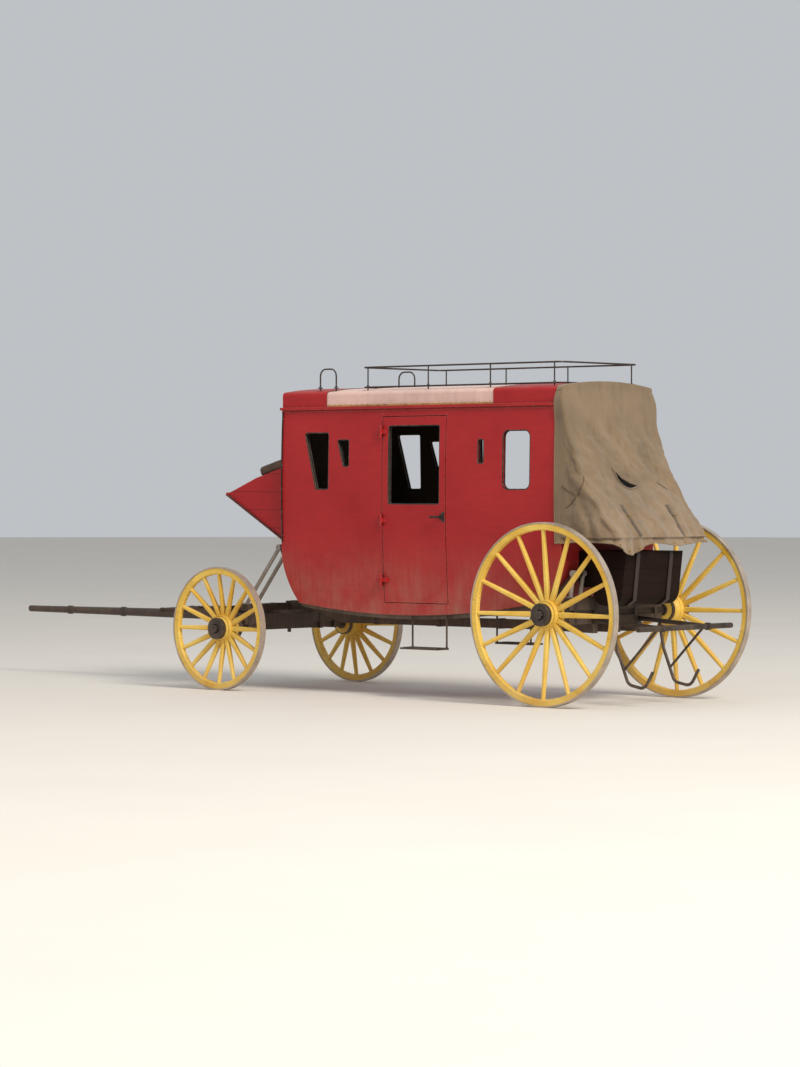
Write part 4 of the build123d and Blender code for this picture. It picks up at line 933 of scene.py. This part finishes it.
def stuffed(name, low, high, face, columns, rows, replaces):
    """One leather cushion, buttoned on one face: 1 to 3 for X, Y or Z, and minus for the low side."""
    small = min(h - l for h, l in zip(high, low))
    depth = small * TUFT_DEPTH
    axis, sign = abs(face) - 1, 1 if face > 0 else -1
    across, along = [k for k in range(3) if k != axis]
    pad = pad_block(name, low, high, small * PAD_INSET)
    swell(pad, 3.5, small * PAD_SWELL)
    buttons = button_places(low, high, columns, rows, across, along)
    span = (high[along] - low[along]) / columns
    surface = max(vertex.co[axis] * sign for vertex in pad.data.vertices)
    for vertex in pad.data.vertices:
        if vertex.co[axis] * sign < surface - (high[axis] - low[axis]) * 0.45:
            continue
        first, second = sorted(hypot(vertex.co[across] - a, vertex.co[along] - b) for a, b in buttons)[:2]
        crease = 0.45 * bell(second - first, span * 0.10) * bell(first, span * 0.75)
        vertex.co[axis] -= sign * depth * (bell(first, span * 0.16) + crease)
    pad.data.shade_smooth()
    finer = pad.modifiers.new("Smooth", "SUBSURF")
    finer.levels = finer.render_levels = 1
    trim = bmesh.new()
    way = Vector((0, 0, 0))
    way[axis] = sign
    for a, b in buttons:
        point = way * (surface - depth - 0.002)
        point[across], point[along] = a, b
        lathe(trim, point, way, [(0, 0), (0.011, 0), (0.010, 0.004), (0.006, 0.006), (0, 0.007)], sides=10)
    trim = piece(name + "_buttons", trim, "leather", "coach", "cushion_leather")
    if replaces:
        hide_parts(replaces)
    return pad, trim


class COACH_OT_cushions(bpy.types.Operator):
    """Make the driver's cushion and the bench cushions in the cabin"""
    bl_idname = "coach.cushions"
    bl_label = "Cushions"

    def execute(self, context):
        low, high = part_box("bench_cushions")
        for name, wall, sign in (("front", high.x, -1), ("rear", low.x, 1)):
            near, far = sorted((wall + sign * WALL_GAP, wall + sign * SEAT_REACH))
            stuffed(f"seat_cushion_{name}", (near, -BENCH_HALF, SEAT_LOW), (far, BENCH_HALF, SEAT_TOP),
                    3, 7, 2, "bench_cushions" if name == "front" else None)
            near, far = sorted((wall + sign * WALL_GAP, wall + sign * BACK_REACH))
            stuffed(f"back_cushion_{name}", (near, -BENCH_HALF, SEAT_TOP + 0.003),
                    (far, BENCH_HALF, BACK_TOP), sign, 7, 3, None)
        low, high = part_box("driver_cushion")
        parts = stuffed("driver_seat_cushion", (low.x + 0.004, low.y + 0.006, 0.0),
                        (high.x - 0.004, high.y - 0.006, 0.088), 3, 7, 2, "driver_cushion")
        lean = atan2(BOARD_HIGH - BOARD_LOW, BOARD_FRONT - BOARD_BACK)
        rise = Matrix.Translation((low.x, 0, BOARD_HIGH + 0.0005))
        tip = rise @ Matrix.Rotation(lean, 4, "Y") @ Matrix.Translation((-low.x, 0, 0))
        for part in parts:
            part.data.transform(tip)
        return {"FINISHED"}


# Wheels

# The hub's face, its bore and the hole in its cap, the thickness of the grease, and the depth of rim and tyre
HUB_FACE, HUB_BORE, HUB_CAP_HOLE, FILM, RIM_DEPTH = 0.042, 0.0261, 0.042, 0.0001, 0.0623
# Depths inboard of the rim plane and the radius of the wooden hub there, and how much its slopes swell
HUB_STEPS = ((-0.042, 0.082), (-0.006, 0.082), (0.058, 0.122), (0.154, 0.088), (0.190, 0.088))
HUB_SWELL = 0.010
FELLOE_JOINTS = 8


def hub_radius(depth):
    """Radius of the hub at a depth, with the swell of its turned slopes."""
    for (d0, r0), (d1, r1) in zip(HUB_STEPS, HUB_STEPS[1:]):
        if d0 <= depth <= d1:
            t = (depth - d0) / (d1 - d0)
            return r0 + (r1 - r0) * t + (HUB_SWELL * sin(pi * t) if r0 != r1 else 0)
    return HUB_STEPS[-1][1]


def wheel_trim(end, side, sign):
    """Rivets, joint clips and hub bands of one wheel, and the grease in its hub."""
    low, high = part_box(f"tyre_{end}_{side}")
    centre, out = (low + high) / 2, Vector((0, sign, 0))
    inside = (high.z - low.z) / 2 - RIM_DEPTH
    bm = bmesh.new()
    for k in range(2 * FELLOE_JOINTS):
        angle = (k + 0.5) * pi / FELLOE_JOINTS
        ray = Vector((cos(angle), 0, sin(angle)))
        bolt(bm, centre + ray * (inside + 0.0005), -ray, 0.008)
        if k % 2:
            continue
        for face in (1, -1):
            flat = centre + ray * (inside + 0.026) + out * face * 0.0242
            slab(bm, flat, (0.040, 0.062, 0.0026), axis_x=ray, axis_z=out * face)
            for along in (-0.020, 0.020):
                bolt(bm, flat + ray.cross(out) * along + out * face * 0.0010, out * face, 0.0032)
    for depth in (0.020, 0.100):
        radius = hub_radius(depth)
        band(bm, centre - out * depth, out, radius - 0.004, radius + 0.004, 0.011, 40)
    piece(f"wheel_irons_{end}_{side}", bm, "yellow", f"wheel_{end}_{side}", "yellow_paint")
    grease = bmesh.new()
    band(grease, centre + out * (HUB_FACE + 1.5 * FILM), out, HUB_BORE + 0.0005, HUB_CAP_HOLE, FILM / 2, 32)
    piece(f"hub_grease_{end}_{side}", grease, "slit", f"wheel_{end}_{side}", smooth=False)


class COACH_OT_wheel_trim(bpy.types.Operator):
    """Make the rivets, joint clips and hub bands of the four wheels"""
    bl_idname = "coach.wheel_trim"
    bl_label = "Wheel irons"

    def execute(self, context):
        for end in ("front", "rear"):
            for side, sign in SIDES:
                wheel_trim(end, side, sign)
        return {"FINISHED"}


# Cabin trim, in millimetres from the rear axle and the ground

# Windows: back, front, bottom, top, corner radius, and how far the front edge leans in at the bottom
WINDOWS = {
    "door": (1300, 1860, 1580, 2230, 24, 0), "rear_quarter": (350, 640, 1700, 2180, 60, 0),
    "front_quarter": (2520, 2800, 1700, 2180, 24, 130), "rear_slot": (830, 900, 1910, 2110, 20, 0),
    "front_slot": (2290, 2430, 1890, 2120, 20, 70),
}
WINDOW_LAP, FRAME_R, FRAME_INSETS = 5, 0.0052, (4, 30)
BEAD_FROM, BEAD_TO, BEAD_Z = 110, 3066, 2355
CORNER_X, CORNER_LOW, CORNER_HIGH = 3050, 1260, 2350
PULL_X, PULL_BOW, DOOR_WALL = 1330, ((1520, 4), (1500, 16), (1440, 30), (1380, 16), (1360, 4)), 34
LOCK_X, LOCK_Z = 1262, 1480


def rounded(points, radius, steps=6):
    """A closed outline with each corner turned on an arc."""
    made = []
    for k, corner in enumerate(points):
        corner = Vector(corner)
        before = (Vector(points[k - 1]) - corner).normalized()
        after = (Vector(points[(k + 1) % len(points)]) - corner).normalized()
        half = before.angle(after) / 2
        reach = radius / max(0.2, abs(sin(half) / cos(half)))
        centre = corner + (before + after).normalized() * (radius / sin(half))
        start, end = corner + before * reach - centre, corner + after * reach - centre
        for step in range(steps + 1):
            t = step / steps
            made.append(centre + (start * (1 - t) + end * t).normalized() * radius)
    return made


def window_outline(window):
    """The edge of an opening, a little inside it, so that its frame laps over the wall's edge."""
    back, front, bottom, top, radius, lean = window
    back, bottom = back + WINDOW_LAP, bottom + WINDOW_LAP
    front, top = front - WINDOW_LAP, top - WINDOW_LAP
    corners = ((back, bottom), (back, top), (front, top), (front - lean, bottom))
    return rounded(corners, radius - WINDOW_LAP)


def window_frames(side, sign):
    """Beads round both faces of each opening, split between the body and the door. They are blacked iron,
    whose dark is painted shade for the deep reveals.
    """
    door = f"door_{side}"
    frames = {"coach": bmesh.new(), door: bmesh.new()}
    for name, window in WINDOWS.items():
        for inset in FRAME_INSETS:
            points = [on_side(x, sign, z, -inset) for x, z in window_outline(window)]
            tube(frames[door if name == "door" else "coach"], points, FRAME_R, closed=True)
    # The frames take the blacked iron: their dark is painted shade for the deep reveals of the windows.
    piece(f"window_frames_{side}", frames["coach"])
    piece(f"door_window_frame_{side}", frames[door], body=door)


def cabin_edges(side, sign):
    """The half-round bead under the cornice, and a blacked strap down the front corner whose dark is painted
    shade for the gap between the cabin and the box.
    """
    bead, strap = bmesh.new(), bmesh.new()
    places = [BEAD_FROM + (BEAD_TO - BEAD_FROM) * k / 30 for k in range(31)]
    tube(bead, [on_side(x, sign, BEAD_Z) for x in places], iron().bead)
    piece(f"cabin_beads_{side}", bead, "red", slot="red_paint")
    heights = [CORNER_LOW + (CORNER_HIGH - CORNER_LOW) * k / 20 for k in range(21)]
    # The corner strap's black iron is painted shade for the dark gap at the cabin's front corner.
    tube(strap, [on_side(CORNER_X, sign, z, 1.5) for z in heights], flat=(0.026, 0.004))
    for k in range(6):
        bolt(strap, on_side(CORNER_X, sign, 1320 + 195 * k, 3.2), (0, sign, 0), 0.005)
    piece(f"corner_shade_strap_{side}", strap)


def door_fittings(side, sign):
    """The leather pull inside the door and the lock plate outside."""
    pull, plate = bmesh.new(), bmesh.new()
    inner = side_y(1.5) * 1000 - DOOR_WALL
    tube(pull, [at(PULL_X, sign * (inner - bow), z) for z, bow in PULL_BOW], flat=(0.03, 0.004))
    piece(f"door_pull_{side}", pull, "straps", f"door_{side}", "brace_leather", bevel=0.001)
    slab(plate, on_side(LOCK_X, sign, LOCK_Z, -1), (0.030, 0.085, 0.005), axis_z=(0, sign, 0))
    for z in (LOCK_Z - 34, LOCK_Z + 34):
        bolt(plate, on_side(LOCK_X, sign, z, 1.2), (0, sign, 0), 0.004)
    piece(f"door_lock_plate_{side}", plate, body=f"door_{side}", bevel=0.001)


class COACH_OT_cabin_trim(bpy.types.Operator):
    """Make the window frames, beads, straps and plates of the cabin and its doors"""
    bl_idname = "coach.cabin_trim"
    bl_label = "Cabin trim"

    def execute(self, context):
        for side, sign in SIDES:
            window_frames(side, sign)
            cabin_edges(side, sign)
            door_fittings(side, sign)
        return {"FINISHED"}


TACKS, TACK_Z, STRIP_Z, CANVAS_IN = 30, 2.408, 2.4, 0.0103
RAIL_FEET_X, RAIL_FOOT_Z, RAIL_R = (187, 849, 1511, 2173, 2530, 2710), 2548, 0.007


class COACH_OT_roof_trim(bpy.types.Operator):
    """Make the nailed edge of the roof canvas and the feet of the rails"""
    bl_idname = "coach.roof_trim"
    bl_label = "Roof trim"

    def execute(self, context):
        low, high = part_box("roof_canvas")
        edge = side_y(2.37) - CANVAS_IN
        tacks, feet = bmesh.new(), bmesh.new()
        for side, sign in SIDES:
            for k in range(TACKS):
                x = low.x + 0.03 + (high.x - low.x - 0.06) * k / (TACKS - 1)
                bolt(tacks, Vector((x, sign * edge, TACK_Z)), (0, sign, 0), 0.0045)
            strip = Vector(((low.x + high.x) / 2, sign * (edge + 0.0005), STRIP_Z))
            slab(tacks, strip, (high.x - low.x, 0.012, 0.002), axis_z=(0, sign, 0))
        piece("roof_tacks", tacks, "brass")
        y = (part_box("roof_rails")[1].y - RAIL_R) * 1000
        foot = [(0, 0), (0.024, 0), (0.024, 0.004), (0.012, 0.008), (0.009, 0.020), (0, 0.020)]
        for x in RAIL_FEET_X:
            for side, sign in SIDES:
                lathe(feet, at(x, sign * y, RAIL_FOOT_Z), UP, foot, sides=14)
        piece("rail_feet", feet)
        return {"FINISHED"}


# Running gear trim, in millimetres from the rear axle and the ground

PERCH_HOOPS, PERCH_Z, PERCH_SECTION = (420, 1150, 1800, 2500), 602.5, (0.070, 0.075)
# Where clips clamp the cross beams, and the height of the axle bar under the front one, in metres
REAR_CLIPS, AXLE_CLIPS = (-0.52, -0.26, 0.26, 0.52), (-0.54, -0.36, 0.36, 0.54)
BOLSTER_CLIPS, AXLE_BAR = (-0.50, -0.18, 0.18, 0.50), 0.052
POLE_Z, POLE_BANDS = 595, ((4210, 0.045), (4900, 0.0418), (5600, 0.0385), (6300, 0.0345))
HOUND_BOLTS, HOUND_Z = ((3620, 215), (3900, 165), (4180, 98)), 626
EVENER_X, EVENER_Z, TREE_X, TREE_Z, TREE_Y, TREE_HALF = 4100, 685, 4260, 662.5, 470, 360


def fixed_gear_irons(t):
    """Clips and hoops of the beams that stay with the coach."""
    bm = bmesh.new()
    low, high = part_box("rear_bed")
    x = (low.x + high.x) / 2
    cross_hoops(bm, "rear_bed", x, REAR_CLIPS, t, 0.036)
    for y in REAR_CLIPS:
        for off in (-0.03, 0.03):
            bolt(bm, Vector((x + off, y, high.z + t)), UP, dome=False)
    for x in PERCH_HOOPS:
        hoop(bm, at(x, 0, PERCH_Z), PERCH_SECTION, t, 0.040)
        for side, sign in SIDES:
            bolt(bm, at(x, sign * 40, 602), (0, sign, 0))
    cross_hoops(bm, "top_bolster", FRONT_AXLE_X, BOLSTER_CLIPS, t * 0.7, 0.04)
    piece("gear_bands", bm, bevel=0.0012)


def turning_gear_irons(t):
    """Clips, bands and bolts of the beams, pole and singletrees that turn."""
    bm = bmesh.new()
    cross_hoops(bm, "front_bed", FRONT_AXLE_X, AXLE_CLIPS, t, 0.036, down=AXLE_BAR)
    for x, half in POLE_BANDS:
        band(bm, at(x, 0, POLE_Z), (1, 0, 0), half - 0.002, half + 0.004, 0.02, 24)
    bolt(bm, at(EVENER_X, 0, EVENER_Z), UP, 0.022, dome=False)
    for side, sign in SIDES:
        for x, y in HOUND_BOLTS:
            bolt(bm, at(x, sign * y, HOUND_Z), UP, dome=False)
        slab(bm, at(EVENER_X, sign * 540, EVENER_Z + 2), (0.075, 0.06, 0.004))
        bolt(bm, at(EVENER_X + 10, sign * 540, EVENER_Z + 4), UP, 0.010)
        for off, radius in ((-TREE_HALF, 0.0190), (0, 0.0265), (TREE_HALF, 0.0190)):
            centre = at(TREE_X, sign * (TREE_Y + off), TREE_Z)
            band(bm, centre, (0, 1, 0), radius - 0.003, radius + 0.002, 0.018, 20)
    piece("pole_bands", bm, body="front_gear", bevel=0.001)


class COACH_OT_gear_trim(bpy.types.Operator):
    """Make the bands, clips and bolts of the beams, axles, pole and singletrees"""
    bl_idname = "coach.gear_trim"
    bl_label = "Gear irons"

    def execute(self, context):
        fixed_gear_irons(iron().band)
        turning_gear_irons(iron().band)
        return {"FINISHED"}


# Side of the braces, and X and Z of each end with the way it runs there
BRACE_Y, BRACE_ENDS = 470, (((-31.0, 1041.2), (-0.754, 0.656)), ((3155.0, 1211.0), (0.420, 0.907)))
# A clamp plate's line along the brace and off it, in metres
CLAMP_LINE = ((-0.16, 0.0195), (-0.03, 0.0195), (-0.005, 0.0245), (0.017, 0.018), (0.0265, 0.0))
BOOT_STRAP_Y, BOOT_STRAP = 215, ((-425, 1217), (-432, 1190), (-393, 830), (-330, 788), (-150, 786))


class COACH_OT_brace_trim(bpy.types.Operator):
    """Make the clamps and bolts at the ends of the leather braces and the straps of the boot"""
    bl_idname = "coach.brace_trim"
    bl_label = "Brace clamps and boot straps"

    def execute(self, context):
        clamps, belts = bmesh.new(), bmesh.new()
        for side, sign in SIDES:
            for (x, z), (way_x, way_z) in BRACE_ENDS:
                end, run = at(x, sign * BRACE_Y, z), Vector((way_x, 0, way_z)).normalized()
                for face in (1, -1):
                    off = Vector((run.z, 0, -run.x)) * face
                    tube(clamps, [end + run * a + off * b for a, b in CLAMP_LINE], flat=(0.062, 0.005))
                    for back in (0.135, 0.075):
                        bolt(clamps, end - run * back + off * 0.022, off, 0.010, dome=face > 0)
            tube(belts, [at(x - 1.5, sign * BOOT_STRAP_Y, z) for x, z in BOOT_STRAP], flat=(0.045, 0.005))
        piece("brace_clamps", clamps, bevel=0.001)
        piece("boot_straps", belts, "straps", slot="brace_leather", bevel=0.001)
        return {"FINISHED"}


# The driver's box: X and height of its heel and toe, and its side
HEEL_X, HEEL_Z, TOE_X, TOE_Z, BOX_SIDE = 3066, 1255, 3765, 1655, 562
STEP_Z, STEP_BACK, STEP_FRONT = 415.5, 1275, 1645


def box_edge(x, sign, lift=0):
    """A point on the strap along the lower edge of the driver's box."""
    return at(x, sign * (BOX_SIDE + lift), HEEL_Z + (TOE_Z - HEEL_Z) * (x - HEEL_X) / (TOE_X - HEEL_X) + 20)


class COACH_OT_box_trim(bpy.types.Operator):
    """Make the straps of the driver's box and the treads of the hanging steps"""
    bl_idname = "coach.box_trim"
    bl_label = "Driver's box irons"

    def execute(self, context):
        straps, treads = bmesh.new(), bmesh.new()
        for side, sign in SIDES:
            tube(straps, [box_edge(x, sign) for x in (3085, 3250, 3415, 3580, 3735)], flat=(0.034, 0.006))
            for x in (3130, 3420, 3700):
                bolt(straps, box_edge(x, sign, 3), (0, sign, 0), 0.007)
            for y in (552, 578, 604, 630, 656):
                tube(treads, [at(x, sign * y, STEP_Z) for x in (STEP_BACK, STEP_FRONT)], 0.0035, sides=6)
            for x in (STEP_BACK + 1, STEP_FRONT - 1):
                bolt(treads, at(x, sign * 540, STEP_Z - 1.5), UP, 0.011, dome=False)
        piece("box_irons", straps, bevel=0.001)
        piece("step_treads", treads)
        return {"FINISHED"}


# Finishes and stage

FLOOR_R, FLOOR_DARK, FLOOR_PALE = 90, (0.70, 0.66, 0.60, 1), (0.76, 0.72, 0.66, 1)
SKY, SKY_STRENGTH = (0.83, 0.86, 0.90, 1), 0.62
# Each lamp's place from the coach's middle, size, power and tint
LAMPS = (("key", (-27, 7.9, 22.5), 11, 11650, (1.0, 0.95, 0.87)),
         ("fill", (8, 28, 12), 18, 1000, (0.93, 0.96, 1.0)))
CAMERA_AT, CAMERA_WAY, CAMERA_LENS = (-20.065, 21.858, 1.722), (0.66151, -0.74981, -0.01339), 116.7


class COACH_OT_finishes(bpy.types.Operator):
    """Give every solid of the coach its worn paint, canvas, leather, wood or iron"""
    bl_idname = "coach.finishes"
    bl_label = "Finishes"

    def execute(self, context):
        make_finishes()
        for name in NODES:
            finish_node(name)
        return {"FINISHED"}


def aimed(name, data, place_at, way):
    """A lamp or camera at a place, looking along a direction."""
    made = bpy.data.objects.new(name, data)
    made.location = place_at
    made.rotation_mode = "QUATERNION"
    made.rotation_quaternion = Vector(way).to_track_quat("-Z", "Y")
    bpy.context.scene.collection.objects.link(made)
    return made


class COACH_OT_stage(bpy.types.Operator):
    """Make the pale floor, the soft light and the camera"""
    bl_idname = "coach.stage"
    bl_label = "Floor, light and camera"

    def execute(self, context):
        scene = context.scene
        bm = bmesh.new()
        bmesh.ops.create_circle(bm, cap_ends=True, segments=64, radius=FLOOR_R)
        mesh = bpy.data.meshes.new("floor")
        bm.to_mesh(mesh)
        bm.free()
        floor = bpy.data.objects.new("floor", mesh)
        scene.collection.objects.link(floor)
        made, tree, shader = material("Pale floor", Specular_IOR_Level=0.15)
        base = mix_colour(tree, cloud(tree, 0.7, 5), FLOOR_DARK, FLOOR_PALE)
        rough = ramp(tree, cloud(tree, 30, 3), 0.3, 0.7, 0.82, 0.92)
        dress(tree, shader, base, rough, cloud(tree, 60, 6), 0.1)
        mesh.materials.append(made)
        scene.world = bpy.data.worlds.new("Studio")
        scene.world.use_nodes = True
        backdrop = scene.world.node_tree.nodes["Background"].inputs
        backdrop["Color"].default_value, backdrop["Strength"].default_value = SKY, SKY_STRENGTH
        centre = Vector((AXLE_X + 1.8, 0, 1.2))
        for name, away, size, power, tint in LAMPS:
            lamp = bpy.data.lights.new(name, "AREA")
            lamp.energy, lamp.size, lamp.color = power, size, tint
            aimed(name, lamp, centre + Vector(away), -Vector(away))
        camera = bpy.data.cameras.new("camera")
        camera.sensor_width, camera.lens, camera.clip_end = 36, CAMERA_LENS, 400
        scene.camera = aimed("camera", camera, CAMERA_AT, CAMERA_WAY)
        scene.view_settings.view_transform = "Standard"
        return {"FINISHED"}


OPERATORS = (COACH_OT_stage, COACH_OT_finishes, COACH_OT_cover, COACH_OT_cushions, COACH_OT_wheel_trim,
             COACH_OT_cabin_trim, COACH_OT_roof_trim, COACH_OT_gear_trim, COACH_OT_brace_trim,
             COACH_OT_box_trim)


class COACH_PT_panel(bpy.types.Panel):
    """Lists the sizes, colours and pieces of the coach."""
    bl_idname = "COACH_PT_panel"
    bl_label = "Stagecoach"
    bl_space_type = "VIEW_3D"
    bl_region_type = "UI"
    bl_category = "Stagecoach"

    def draw(self, context):
        for settings in (context.scene.coach_paint, context.scene.coach_cloth, context.scene.coach_iron):
            for name in settings.bl_rna.properties.keys():
                if name not in ("rna_type", "name"):
                    self.layout.prop(settings, name)
        for operator in OPERATORS:
            self.layout.operator(operator.bl_idname)


CLASSES = (PaintSettings, ClothSettings, IronSettings) + OPERATORS + (COACH_PT_panel,)


def register():
    for made in CLASSES:
        bpy.utils.register_class(made)
    bpy.types.Scene.coach_paint = bpy.props.PointerProperty(type=PaintSettings)
    bpy.types.Scene.coach_cloth = bpy.props.PointerProperty(type=ClothSettings)
    bpy.types.Scene.coach_iron = bpy.props.PointerProperty(type=IronSettings)


def unregister():
    del bpy.types.Scene.coach_paint, bpy.types.Scene.coach_cloth, bpy.types.Scene.coach_iron
    for made in reversed(CLASSES):
        bpy.utils.unregister_class(made)


def main():
    register()
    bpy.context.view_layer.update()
    bpy.ops.coach.stage()
    bpy.ops.coach.finishes()
    bpy.ops.coach.cover()
    bpy.ops.coach.cushions()
    bpy.ops.coach.wheel_trim()
    bpy.ops.coach.cabin_trim()
    bpy.ops.coach.roof_trim()
    bpy.ops.coach.gear_trim()
    bpy.ops.coach.brace_trim()
    bpy.ops.coach.box_trim()


if __name__ == "__main__":
    main()
